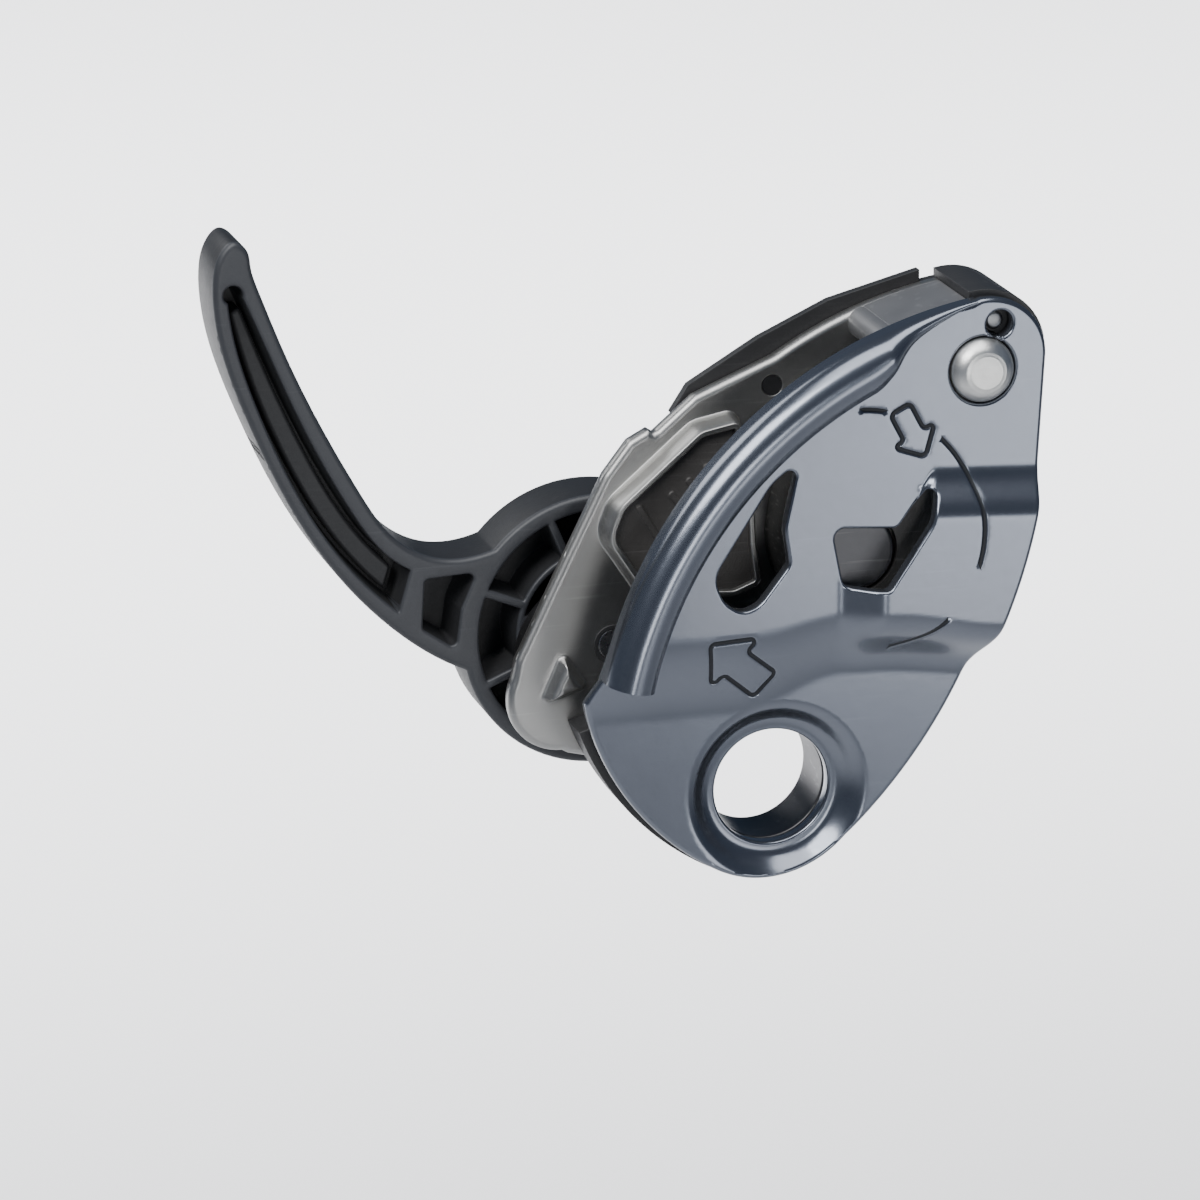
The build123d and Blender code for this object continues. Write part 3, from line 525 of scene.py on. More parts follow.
def dressed(name: str, node: bpy.types.Object, edge: float, *finishes: Finish, segments: int = 3) -> bpy.types.Object:
    """Copy of a model node with its edges broken.

    Args:
        name: Name of the piece.
        node: The node's object.
        edge: Width of the broken edge, in millimetres.
        *finishes: Finishes of the piece.
        segments: Facets across the broken edge.

    Returns:
        The new object.
    """
    mesh = bmesh.new()
    mesh.from_mesh(node.data)
    bmesh.ops.remove_doubles(mesh, verts=mesh.verts, dist=3e-6)
    bmesh.ops.dissolve_limit(mesh, angle_limit=math.radians(1.0), verts=mesh.verts, edges=mesh.edges)
    for face in mesh.faces:
        face.material_index = 0
    out = finish_mesh(name, mesh, 30.0)
    piece = register(name, out, *finishes)
    if edge > 0.0:
        bevel = piece.modifiers.new("edge", "BEVEL")
        bevel.width = edge * MM
        bevel.segments = segments
        bevel.limit_method = "ANGLE"
        bevel.angle_limit = math.radians(32.0)
        bevel.harden_normals = True
        bevel.use_clamp_overlap = True
        plain_mesh(piece)
    return piece


@dataclass
class Relief:
    """Plate whose front is a height over the XZ plane.

    The outline and the holes get rings of points that break their edges, and
    more rings hold the places where the height turns.
    """

    outline: Loop
    holes: list[Loop] = field(default_factory=list)
    front: Height = lambda x, z: np.zeros_like(x)
    back: Height = lambda x, z: np.ones_like(x)
    edge: float = 0.5
    hole_edge: float | None = None
    grid: float = 0.7
    guides: list[Loop] = field(default_factory=list)
    paths: list[Loop] = field(default_factory=list)
    path_width: float = 1.05
    path_depth: float = 0.25
    analytic: bool = True

    STEPS = (0.0, 0.06, 0.2, 0.42, 0.7, 1.0)

    def _rings(self) -> list[tuple[Loop, float, float]]:
        """Rings of points along each edge, with their distance and radius."""
        rings = []
        for loop, radius in [(self.outline, self.edge)] + [(h, self.hole_edge or self.edge) for h in self.holes]:
            side = 1.0 if loop is self.outline else -1.0
            for step in self.STEPS:
                rings.append((inset(loop, side * step * radius), step * radius, radius))
        return rings

    def build(self, name: str) -> bpy.types.Mesh:
        """Triangulate the plate and give it its thickness.

        Args:
            name: Name of the mesh.

        Returns:
            The mesh, with engraved faces in material 1.
        """
        flat: list[Point] = []
        sides: list[tuple[int, int]] = []
        depth: list[float] = []
        radius_at: list[float] = []

        def add(loop: Sequence[Point], distance: float, radius: float, closed: bool = True) -> None:
            """Add a chain of points and the sides between them."""
            first = len(flat)
            flat.extend(loop)
            depth.extend([distance] * len(loop))
            radius_at.extend([radius] * len(loop))
            last = len(loop) if closed else len(loop) - 1
            sides.extend((first + k, first + (k + 1) % len(loop)) for k in range(last))

        for loop, distance, radius in self._rings():
            add(loop, distance, radius)
        ring_count = len(flat)
        for loop in self.guides:
            x, z = np.array([p[0] for p in loop]), np.array([p[1] for p in loop])
            room = self._room(x, z)
            keep = room > 0.25
            run: Loop = []
            for k, p in enumerate(list(loop) + [loop[0]]):
                if keep[k % len(loop)]:
                    run.append(p)
                else:
                    if len(run) > 1:
                        add(run, 9.0, 1.0, closed=False)
                    run = []
            if len(run) > 1:
                add(run, 9.0, 1.0, closed=False)
        for path in self.paths:
            for shift in (-0.5, -0.3, 0.3, 0.5):
                add(self._beside(path, shift * self.path_width), 9.0, 1.0, closed=False)
        xs = np.array([p[0] for p in flat])
        zs = np.array([p[1] for p in flat])
        gx, gz = np.meshgrid(np.arange(xs.min(), xs.max(), self.grid), np.arange(zs.min(), zs.max(), self.grid * 0.87))
        gx = gx + (np.arange(gx.shape[0]) % 2 * self.grid / 2)[:, None]
        gx, gz = gx.ravel(), gz.ravel()
        room = self._room(gx, gz)
        keep = room > self.edge + 0.35 * self.grid
        if len(self.paths):
            keep &= self._path_distance(gx, gz) > 0.5 * self.path_width + 0.2
        near = np.full(len(gx), 9.0)
        guide = np.array(flat[ring_count:]) if len(flat) > ring_count else np.zeros((0, 2))
        if len(guide):
            for k in range(0, len(gx), 2000):
                part = slice(k, k + 2000)
                near[part] = np.hypot(gx[part, None] - guide[:, 0], gz[part, None] - guide[:, 1]).min(axis=1)
        keep &= near > 0.3
        for x, z in zip(gx[keep], gz[keep]):
            flat.append((float(x), float(z)))
            depth.append(9.0)
            radius_at.append(1.0)
        points, _, faces, origin, _, _ = delaunay_2d_cdt([Vector(p) for p in flat], sides, [], 0, 1e-5)
        px, pz = np.array([p.x for p in points]), np.array([p.y for p in points])
        dist = np.array([min((depth[j] for j in o), default=9.0) if o else 9.0 for o in origin])
        radius = np.array([radius_at[o[0]] if o else 1.0 for o in origin])
        faces = [f for f in faces if len(f) == 3]
        mid = np.array([[px[list(f)].mean(), pz[list(f)].mean()] for f in faces])
        solid = self._room(mid[:, 0], mid[:, 1]) > 0.0
        kept = [f for f, ok in zip(faces, solid) if ok]
        carved = self._path_distance(mid[:, 0], mid[:, 1])[solid] < 0.34 * self.path_width if self.paths else None
        t = np.clip(dist / radius, 0.0, 1.0)
        fall = radius * (1.0 - np.sqrt(np.clip(1.0 - (1.0 - t) ** 2, 0.0, 1.0)))
        top = self._carved_front(px, pz)
        bottom = self.back(px, pz)
        limit = 0.5 * (bottom - top)
        fall = np.minimum(fall, limit)
        mesh = bmesh.new()
        upper = [mesh.verts.new((x * MM, y * MM, z * MM)) for x, y, z in zip(px, top + fall, pz)]
        lower = [mesh.verts.new((x * MM, y * MM, z * MM)) for x, y, z in zip(px, bottom - fall, pz)]
        rim: dict[tuple[int, int], int] = {}
        for k, f in enumerate(kept):
            turn = (px[f[1]] - px[f[0]]) * (pz[f[2]] - pz[f[0]]) - (px[f[2]] - px[f[0]]) * (pz[f[1]] - pz[f[0]])
            a, b, c = f if turn > 0 else (f[0], f[2], f[1])
            face = mesh.faces.new((upper[a], upper[b], upper[c]))
            face.material_index = 1 if carved is not None and carved[k] else 0
            mesh.faces.new((lower[c], lower[b], lower[a]))
            for i, j in ((a, b), (b, c), (c, a)):
                if (j, i) in rim:
                    del rim[(j, i)]
                else:
                    rim[(i, j)] = 1
        for i, j in rim:
            mesh.faces.new((upper[j], upper[i], lower[i], lower[j]))
        for vert in [v for v in mesh.verts if not v.link_faces]:
            mesh.verts.remove(vert)
        out = finish_mesh(name, mesh, 60.0)
        if self.analytic:
            self._true_normals(out)
        return out

    def _carved_front(self, x: np.ndarray, z: np.ndarray) -> np.ndarray:
        """Front of the plate with its engraved paths."""
        top = self.front(x, z)
        if self.paths:
            way = self._path_distance(x, z)
            top = top + self.path_depth * (1.0 - ramp((way - 0.26 * self.path_width) / (0.24 * self.path_width)))
        return top

    def _true_normals(self, mesh: bpy.types.Mesh) -> None:
        """Shade the open front by the height's own slope."""
        count = len(mesh.vertices)
        co = np.zeros(count * 3)
        mesh.vertices.foreach_get("co", co)
        co = co.reshape(-1, 3) / MM
        x, y, z = co[:, 0], co[:, 1], co[:, 2]
        top = self._carved_front(x, z)
        room = self._chunked(self.outline, x, z) - self.edge
        for hole in self.holes:
            room = np.minimum(room, -self._chunked(hole, x, z) - (self.hole_edge or self.edge))
        gap = 0.04
        hx = (self._carved_front(x + gap, z) - self._carved_front(x - gap, z)) / (2 * gap)
        hz = (self._carved_front(x, z + gap) - self._carved_front(x, z - gap)) / (2 * gap)
        slope = np.stack([hx, -np.ones(count), hz], axis=1)
        slope /= np.linalg.norm(slope, axis=1)[:, None]
        own = np.array([v.normal[:] for v in mesh.vertices])
        use = (np.abs(y - top) < 0.012) & (room > -0.02)
        own[use] = slope[use]
        mesh.normals_split_custom_set_from_vertices([tuple(n) for n in own])

    def _room(self, x: np.ndarray, z: np.ndarray) -> np.ndarray:
        """Distance from the nearest edge, negative off the plate."""
        out = self._chunked(self.outline, x, z)
        for hole in self.holes:
            out = np.minimum(out, -self._chunked(hole, x, z))
        return out

    @staticmethod
    def _chunked(loop: Loop, x: np.ndarray, z: np.ndarray) -> np.ndarray:
        """Distance to a loop, worked out in batches."""
        return np.concatenate([inside_distance(loop, x[k:k + 3000], z[k:k + 3000]) for k in range(0, len(x), 3000)]) \
            if len(x) else np.zeros(0)

    def _path_distance(self, x: np.ndarray, z: np.ndarray) -> np.ndarray:
        """Distance to the nearest engraved path."""
        best = np.full(len(x), 99.0)
        for path in self.paths:
            for a, b in zip(path, path[1:]):
                dx, dz = b[0] - a[0], b[1] - a[1]
                t = np.clip(((x - a[0]) * dx + (z - a[1]) * dz) / (dx * dx + dz * dz), 0, 1)
                best = np.minimum(best, np.hypot(x - a[0] - t * dx, z - a[1] - t * dz))
        return best

    @staticmethod
    def _beside(path: Loop, shift: float) -> Loop:
        """Open chain moved sideways."""
        out: Loop = []
        for k, p in enumerate(path):
            a, b = path[max(0, k - 1)], path[min(len(path) - 1, k + 1)]
            u = Vector((b[0] - a[0], b[1] - a[1])).normalized()
            out.append((p[0] - u.y * shift, p[1] + u.x * shift))
        return out


# ------------------------------------------------------------- node-built parts
class NodeTool:
    """Geometry node trees that set out and wind the small parts."""

    @staticmethod
    def _tree(name: str, *sockets: tuple[str, str, float | None]
              ) -> tuple[bpy.types.NodeTree, bpy.types.Node, bpy.types.Node]:
        """New tree with its named inputs and both group nodes."""
        tree = bpy.data.node_groups.new(name, "GeometryNodeTree")
        tree.interface.new_socket("Geometry", in_out="INPUT", socket_type="NodeSocketGeometry")
        for label, kind, value in sockets:
            made = tree.interface.new_socket(label, in_out="INPUT", socket_type=kind)
            if value is not None:
                made.default_value = value
        tree.interface.new_socket("Geometry", in_out="OUTPUT", socket_type="NodeSocketGeometry")
        return tree, tree.nodes.new("NodeGroupInput"), tree.nodes.new("NodeGroupOutput")

    @staticmethod
    def _close(tree: bpy.types.NodeTree, source: bpy.types.Node, shape: bpy.types.NodeSocket,
               out: bpy.types.Node) -> None:
        """End the tree in realized instances and the set material."""
        real = add_node(tree, "GeometryNodeRealizeInstances", {"Geometry": shape})
        paint = add_node(tree, "GeometryNodeSetMaterial",
                         {"Geometry": real.outputs["Geometry"], "Material": source.outputs["Material"]})
        tree.links.new(paint.outputs["Geometry"], out.inputs[0])

    @staticmethod
    def run(name: str, tree: bpy.types.NodeTree, base: bpy.types.Mesh, values: dict[str, object],
            finish: Finish) -> bpy.types.Object:
        """Evaluate a tree on a base mesh and keep the result as a plain mesh.

        Args:
            name: Name of the piece.
            tree: The tree.
            base: Mesh that it starts from.
            values: Value of each named input.
            finish: Finish of the piece.

        Returns:
            The finished object.
        """
        piece = register(name, base, finish)
        modifier = piece.modifiers.new(name, "NODES")
        modifier.node_group = tree
        for item in tree.interface.items_tree:
            if item.in_out == "INPUT" and item.name in values:
                modifier[item.identifier] = values[item.name]
            if item.in_out == "INPUT" and item.name == "Material":
                modifier[item.identifier] = finish.material()
        return plain_mesh(piece)

    @classmethod
    def coil(cls) -> bpy.types.NodeTree:
        """Round wire wound into a torsion spring along Y."""
        found = bpy.data.node_groups.get("wound_spring")
        if found:
            return found
        tree, source, out = cls._tree(
            "wound_spring", ("Turns", "NodeSocketFloat", 4.0), ("Radius", "NodeSocketFloat", 0.005),
            ("Length", "NodeSocketFloat", 0.004), ("Wire", "NodeSocketFloat", 0.0005),
            ("Place", "NodeSocketVector", None), ("Material", "NodeSocketMaterial", None))
        given = source.outputs
        spiral = add_node(tree, "GeometryNodeCurveSpiral",
                          {"Rotations": given["Turns"], "Start Radius": given["Radius"],
                           "End Radius": given["Radius"], "Height": given["Length"]}, {"Resolution": 40})
        wire = add_node(tree, "GeometryNodeCurvePrimitiveCircle", {"Radius": given["Wire"]}, {"Resolution": 12})
        sweep = add_node(tree, "GeometryNodeCurveToMesh",
                         {"Curve": spiral.outputs["Curve"], "Profile Curve": wire.outputs["Curve"]},
                         {"Fill Caps": True})
        lay = add_node(tree, "GeometryNodeTransform",
                       {"Geometry": sweep.outputs["Mesh"], "Translation": given["Place"]},
                       {"Rotation": (math.pi / 2, 0.0, 0.0)})
        smooth = add_node(tree, "GeometryNodeSetShadeSmooth", {"Geometry": lay.outputs["Geometry"]})
        cls._close(tree, source, smooth.outputs["Geometry"], out)
        return tree

    @classmethod
    def set_out(cls) -> bpy.types.NodeTree:
        """One piece set at each point of the base, each turned a little more."""
        found = bpy.data.node_groups.get("set_out")
        if found:
            return found
        tree, source, out = cls._tree("set_out", ("Piece", "NodeSocketObject", None),
                                      ("Turn", "NodeSocketFloat", 0.4), ("Material", "NodeSocketMaterial", None))
        given = source.outputs
        info = add_node(tree, "GeometryNodeObjectInfo", {"Object": given["Piece"]})
        index = add_node(tree, "GeometryNodeInputIndex")
        axis = add_node(tree, "ShaderNodeCombineXYZ",
                        {"Y": arithmetic(tree, "MULTIPLY", index.outputs[0], given["Turn"])})
        spread = add_node(tree, "GeometryNodeInstanceOnPoints",
                          {"Points": given["Geometry"], "Instance": info.outputs["Geometry"],
                           "Rotation": axis.outputs[0]})
        cls._close(tree, source, spread.outputs["Instances"], out)
        return tree


# ------------------------------------------------------------------- side plate
@dataclass
class SidePlate:
    """Pressed sheet with its rolled lip, dish, bridge, windows and marks."""

    sheet: float = 2.4
    level: float = -10.5
    bridge_rise: float = 3.5
    foot_drop: float = 3.5
    dish_drop: float = 2.8
    hole: float = 8.75
    dish: float = 13.6
    rivet: Point = (29.5, 62.7)
    rivet_head: float = 4.85
    pin: Point = (32.0, 69.4)
    pin_window: float = 2.0
    lip_centre: Point = (39.5, 5.8)
    lip_radius: float = 68.25
    lip_from: float = 98.8
    lip_to: float = 168.0
    tube: float = 3.7
    tube_wall: float = 1.5

    def outline(self) -> Loop:
        """Outline of the sheet."""
        centre, r = self.lip_centre, self.lip_radius
        start, end = polar(centre, r, self.lip_from), polar(centre, r, self.lip_to)
        left, knee, hip = (-29.4, 16.0), (29.3, 17.5), (38.4, 47.0)
        foot_left, foot_right = polar((0, 0), 14.7, 229.7), polar((0, 0), 13.4, 324)
        corner = (self.rivet[0] + 0.75, self.rivet[1] + 1.7)
        shoulder = (corner[0] + 9.05, corner[1])
        under = r - 0.4
        loop = [start] + arc_through(polar(centre, under, self.lip_from + 1.2), polar(centre, under, 133),
                                     polar(centre, under, self.lip_to - 0.4)) + [end]
        loop += arc_through(left, (-21.8, -0.6), foot_left)
        loop += arc_through(foot_left, polar((0, 0), 13.4, 268), foot_right)
        loop += arc_through(foot_right, (22.3, 5.2), knee)
        loop += arc_through(knee, (35.4, 32.5), hip) + [hip]
        loop += arc_through(shoulder, polar(corner, 9.05, 48), start)
        return densify(loop, 0.6)

    def height(self, x: np.ndarray, z: np.ndarray) -> np.ndarray:
        """Front of the sheet over the XZ plane, in millimetres along Y."""
        right = ramp((x + 8.0) / 20.0)
        far = ramp((x - 12.0) / 24.0)
        top, run = 26.4 + 2.2 * right - 3.0 * far, 14.6 - 2.8 * right - 1.2 * far
        foot = ramp((top - z) / run)
        edge = np.clip(14.6 + 0.482 * (z - 31.4), 10.5, 23.4)
        low = ramp((34.0 - z) / 2.0)
        shelf = (1.0 - low) * ramp((x - edge + 1.2) / 1.6) + low * ramp((x - 7.4) / 7.6)
        bridge = shelf * ramp((49.9 - 0.05 * (x - 20.0) - z) / 8.8)
        reach = np.hypot(x, z)
        dish = 1.0 - ramp((reach - self.hole - 0.5) / (self.dish - self.hole + 0.2))
        return (self.level - self.bridge_rise * bridge * (1.0 - foot) + self.foot_drop * foot
                + self.dish_drop * dish)

    def marks(self) -> list[Loop]:
        """Engraved rope's path in three arcs with an arrow, and a second, larger arrow."""
        middle, r = (10.5, 39.5), 18.6

        def run(first: float, last: float) -> Loop:
            """Arc of the path between two angles."""
            count = max(4, round(abs(last - first) / 2.2))
            return [polar(middle, r, first + (last - first) * k / count) for k in range(count + 1)]

        def block_arrow(tip: Point, heading: float, size: float) -> Loop:
            """Outlined arrow that points along a heading."""
            shape = ((0.0, 0.0), (-0.45, 0.42), (-0.45, 0.2), (-1.0, 0.2), (-1.0, -0.2), (-0.45, -0.2),
                     (-0.45, -0.42), (0.0, 0.0))
            c, s = math.cos(math.radians(heading)), math.sin(math.radians(heading))
            turned_shape = [(tip[0] + size * (u * c - v * s), tip[1] + size * (u * s + v * c)) for u, v in shape[:-1]]
            smooth = densify(rounded(turned_shape, 0.8, 0.2), 0.5)
            return smooth + [smooth[0]]

        return [run(87.0, 78.0), run(45.0, -15.5), run(-45.5, -72.0),
                block_arrow((21.0, 50.4), -62.0, 8.4), block_arrow((-11.4, 24.6), 140.0, 12.0)]

    def make_sheet(self) -> bpy.types.Object:
        """Pressed sheet with its windows and engraved marks."""
        leaf = rounded([(-10.9, 34.4), (-2.2, 48.0), (1.8, 51.0), (-0.3, 41.0), (0.5, 35.6),
                        (-4.0, 29.8), (-6.6, 28.9), (-9.2, 30.6)], (5.0, 9.0, 1.0, 5.0, 1.4, 4.0, 4.0, 4.0))
        cam = rounded([(7.0, 40.6), (16.9, 39.8), (23.0, 48.4), (21.2, 41.0), (14.8, 31.4), (8.8, 31.6)],
                      (1.5, 1.6, 0.7, 6.0, 1.2, 1.5))
        holes = [densify(leaf, 0.45), densify(cam, 0.45), circle((0, 0), self.hole, 90),
                 circle(self.rivet, self.rivet_head + 0.15, 60), circle(self.pin, self.pin_window, 40)]
        guides = [circle((0, 0), self.hole + d, 90) for d in (1.0, 1.5, 2.1, 2.8, 3.5, 4.2, 4.9, 5.6)]
        relief = Relief(self.outline(), holes, self.height, lambda x, z: self.height(x, z) + self.sheet,
                        edge=0.75, hole_edge=0.5, grid=0.62, guides=guides, paths=self.marks())
        return register("Side_plate_sheet", relief.build("Side_plate_sheet"), SHEET_PAINT, ENGRAVED)

    def roll(self, angle: float) -> float:
        """Width of the rolled lip at an angle round its centre."""
        stops = ((99.3, 0.5), (101.6, 0.9), (105.3, 1.9), (108.4, 2.9), (110.2, 4.1), (112.2, 6.0), (115.0, 7.4),
                 (170.0, 7.4))
        for (a, low), (b, high) in zip(stops, stops[1:]):
            if angle <= b:
                t = (max(angle, a) - a) / (b - a)
                return low + (high - low) * t
        return stops[-1][1]

    def make_lip(self) -> bpy.types.Object:
        """Half-tube rolled out of the sheet's edge, running out at its top."""
        mesh = bmesh.new()
        sections = []
        count = 150
        for k in range(count + 1):
            angle = self.lip_from + 0.5 + (self.lip_to - self.lip_from - 0.5) * k / count
            wide = (self.roll(angle - 0.8) + self.roll(angle) + self.roll(angle + 0.8)) / 3.0
            half = wide / 2.0
            tall = min(self.tube, half * 1.25)
            wall = min(self.tube_wall, 0.45 * wide)
            px, pz = polar(self.lip_centre, self.lip_radius, angle)
            ground = float(self.height(np.array([px]), np.array([pz]))[0])
            rows: list[tuple[float, float]] = [(0.0, max(ground, self.level) + self.sheet - 0.1),
                                               (0.0, self.level + 0.3)]
            free = math.pi * 0.93
            turns = 22
            for j in range(turns + 1):
                t = free * j / turns
                rows.append((half * (1 - math.cos(t)), self.level - tall * math.sin(t)))
            end = rows[-1]
            for j in range(1, 7):
                t = math.pi * j / 6
                side = wall / 2
                rows.append((end[0] - side * (1 - math.cos(t)), end[1] + 0.55 * side * math.sin(t)))
            inner = []
            for j in range(turns + 1):
                t = free * (turns - j) / turns
                drop = (tall - min(wall, tall * 0.6)) * math.sin(t)
                inner.append((half - (half - wall) * math.cos(t), self.level - drop))
            rows += inner[1:]
            rows += [(min(wall, 0.45 * wide), max(ground, self.level) + self.sheet - 0.1)]
            section = []
            for inwards, y in rows:
                x, z = polar(self.lip_centre, self.lip_radius - 0.03 - inwards, angle)
                section.append(mesh.verts.new((x * MM, y * MM, z * MM)))
            sections.append(section)
        size = len(sections[0])
        for low, high in zip(sections, sections[1:]):
            for k in range(size):
                j = (k + 1) % size
                side = mesh.faces.new((low[k], low[j], high[j], high[k]))
                # The free edge's rounding gets the lighter finish, a painted highlight.
                side.material_index = int(turns + 2 <= k < turns + 8)
        for end in (sections[0], sections[-1]):
            half = size // 2
            for k in range(half - 1 + size % 2):
                a, b, c, d = end[k], end[k + 1], end[size - 2 - k], end[size - 1 - k]
                corners = [v for n, v in enumerate((a, b, c, d)) if v not in (a, b, c, d)[:n]]
                if len(corners) > 2:
                    mesh.faces.new(corners)
        bmesh.ops.recalc_face_normals(mesh, faces=mesh.faces)
        piece = register("Side_plate_lip", finish_mesh("Side_plate_lip", mesh, 50.0), SHEET_PAINT, LIP_EDGE_HIGHLIGHT)
        bevel = piece.modifiers.new("edge", "BEVEL")
        bevel.width = 0.3 * MM
        bevel.segments = 2
        bevel.limit_method = "ANGLE"
        bevel.angle_limit = math.radians(50.0)
        return plain_mesh(piece)

    def build(self) -> None:
        """Build the sheet and its lip, and hang them on the body."""
        settle(self.make_sheet(), "side_plate", "side_plate_finish", "side_plate")
        settle(self.make_lip(), "side_plate", "side_plate_finish")


# ------------------------------------------------------------------ fixed plate
@dataclass
class FixedPlate:
    """Fixed plate with its raised island, insert, bump and cut-outs."""

    front: float = 5.0
    thick: float = 3.0
    island: float = 1.0
    recess: float = 3.0
    rim: float = 1.3
    bump: float = 2.6

    def island_loop(self) -> Loop:
        """Outline of the raised island."""
        return densify(rounded([(-2.2, 55.4), (-9.8, 53.9), (-22.2, 43.2), (-24.2, 38.0), (-17.6, 28.0), (-4.0, 27.4),
                                (0.6, 29.2), (-0.4, 36.0), (-0.8, 43.5), (-3.2, 50.0)],
                               (2.5, 4.0, 5.0, 4.5, 4.0, 3.0, 2.0, 2.0, 2.0, 2.0)), 0.5)

    def height(self, x: np.ndarray, z: np.ndarray) -> np.ndarray:
        """Front of the plate over the XZ plane."""
        inside = Relief._chunked(self.island_loop(), x, z)
        raised = (self.front - self.island) * ramp((inside + 0.35) / 1.15)
        sunk = self.recess * ramp((inside - self.rim - 0.1) / 0.5)
        spot = Relief._chunked(rounded([(-33.6, 11.8), (-24.8, 14.7), (-29.5, 21.3)], 1.2), x, z)
        knob = self.bump * ramp((spot + 0.1) / 2.0)
        return self.front - raised + sunk - knob

    def build(self, nodes: dict[str, bpy.types.Object]) -> None:
        """Build the plate and its insert.

        Args:
            nodes: The model's nodes.
        """
        loops = [densify(loop, 0.6) for loop in flat_loops(nodes["fixed_plate"], self.front + self.thick)]
        island = self.island_loop()
        guides = [densify(inset(island, d), 0.5) for d in (-0.4, -0.15, 0.1, 0.35, 0.6, 0.85, 1.2, 1.5, 1.7, 2.0)]
        triangle = rounded([(-33.6, 11.8), (-24.8, 14.7), (-29.5, 21.3)], 1.2)
        guides += [densify(inset(triangle, d), 0.4) for d in (0.0, 0.5, 1.0, 1.5)]
        relief = Relief(loops[0], loops[1:], self.height, lambda x, z: np.full_like(x, self.front + self.thick),
                        edge=1.15, hole_edge=0.3, grid=0.8, guides=guides)
        plate = register("Fixed_plate", relief.build("Fixed_plate"), SILVER_PLATE)
        settle(plate, "root", "silver_plate", "fixed_plate")
        top = self.island + 0.9
        ridge = [(-19.3, 42.6), (-18.4, 43.0), (-14.6, 36.6), (-15.5, 36.2)]
        bars = [densify(rounded([(p[0] + 2.6 * k, p[1] + 1.9 * k) for p in
                                 ((-14.3, 44.1), (-13.5, 44.7), (-10.7, 40.9), (-11.5, 40.3))], 0.3), 0.3) for k in range(3)]
        raised = [densify(rounded(ridge, 0.3), 0.3)] + bars

        def face(x: np.ndarray, z: np.ndarray) -> np.ndarray:
            """Front of the insert with its ridge and marks."""
            out = np.full_like(x, top)
            for k, loop in enumerate(raised):
                out = out - (0.5 if k == 0 else 0.3) * ramp((Relief._chunked(loop, x, z) + 0.12) / 0.28)
            return out

        edge = flat_loops(nodes["plate_insert"], self.island + self.recess)[0]
        insert = Relief(densify(edge, 0.5), [], face, lambda x, z: np.full_like(x, self.island + self.recess),
                        edge=0.35, grid=0.6,
                        guides=[densify(inset(loop, d), 0.3) for loop in raised for d in (-0.1, 0.05, 0.2)])
        piece = register("Plate_insert", insert.build("Plate_insert"), INSERT_GREY)
        settle(piece, "root", "black_moulding", "plate_insert")


# ----------------------------------------------------------------------- handle
@dataclass
class Handle:
    """Moulded lever: rims, pockets, raised panel and the ribbed hub."""

    centre: Point = (-21.6, 21.0)
    front: float = 12.6
    thick: float = 11.0
    floor: float = 3.0
    panel: float = 4.6
    round_over: float = 0.9
    tip: Point = (-69.5, 71.0)

    def build(self, nodes: dict[str, bpy.types.Object]) -> None:
        """Build the lever and its panel.

        Args:
            nodes: The model's nodes.
        """
        rear = self.front + self.thick
        floor = rear - self.floor
        loops = [densify(loop, 0.7) for loop in flat_loops(nodes["handle_lever"], self.front)]
        outer, inner = self._eased(loops[0]), loops[1:]
        bore = min(inner, key=lambda loop: abs(math.dist((sum(p[0] for p in loop) / len(loop), sum(p[1] for p in loop) / len(loop)),
                                                         self.centre)) + (0 if abs(area(loop)) > 90 else 50))
        pockets = [loop for loop in inner if loop is not bore]

        def face(x: np.ndarray, z: np.ndarray) -> np.ndarray:
            """Front of the lever with its pockets."""
            out = np.full_like(x, self.front)
            for loop in pockets:
                inside = Relief._chunked(loop, x, z)
                lead = 0.45 * (1.0 - np.sqrt(np.clip(1.0 - np.clip(1.0 + inside / 0.45, 0.0, 1.0) ** 2, 0.0, 1.0)))
                wall = (floor - self.front) * np.clip(inside / 0.3, 0.0, 1.0)
                out = out + np.where(inside > 0.0, np.maximum(wall, 0.45), lead)
            return out

        guides = [densify(inset(loop, d), 0.6) for loop in pockets for d in (-0.45, -0.25, -0.1, 0.0, 0.3, 0.5)]
        relief = Relief(outer, [bore], face, lambda x, z: np.full_like(x, rear), edge=self.round_over, hole_edge=0.3,
                        grid=0.9, guides=guides, analytic=False)
        mesh = relief.build("Handle_lever")
        # Pocket walls and floors get the darker nylon, a painted shade.
        self._paint_pocket_shade(mesh, floor)
        lever = register("Handle_lever", mesh, HANDLE_NYLON, PANEL_AND_POCKET_SHADE_NYLON)
        settle(lever, "handle", "handle_nylon", "handle_lever")
        panel = dressed("Grip_panel", nodes["grip_panel"], 0.7, PANEL_AND_POCKET_SHADE_NYLON)
        settle(panel, "handle", "handle_nylon", "grip_panel")

    def _eased(self, loop: Loop) -> Loop:
        """Loop with the turn at the lever's tip made even."""
        count = len(loop)
        for _ in range(14):
            loop = [tuple(0.5 * p[i] + 0.25 * (loop[k - 1][i] + loop[(k + 1) % count][i]) for i in (0, 1))
                    if p[0] < self.tip[0] and p[1] > self.tip[1] else p for k, p in enumerate(loop)]
        return loop

    def _paint_pocket_shade(self, mesh: bpy.types.Mesh, floor: float) -> None:
        """Give the pockets' walls and floors the darker nylon, a painted shade in the recesses."""
        for face in mesh.polygons:
            middle = face.center / MM
            if self.front + 1.2 < middle.y < floor + 0.2 and face.normal.y < 0.5:
                corners = [mesh.vertices[v].co.y / MM for v in face.vertices]
                face.material_index = 1 if max(corners) > floor - 0.2 and middle.y > self.front + 1.2 else 0
            else:
                face.material_index = 0
            if face.normal.y > 0.5:
                face.material_index = 0


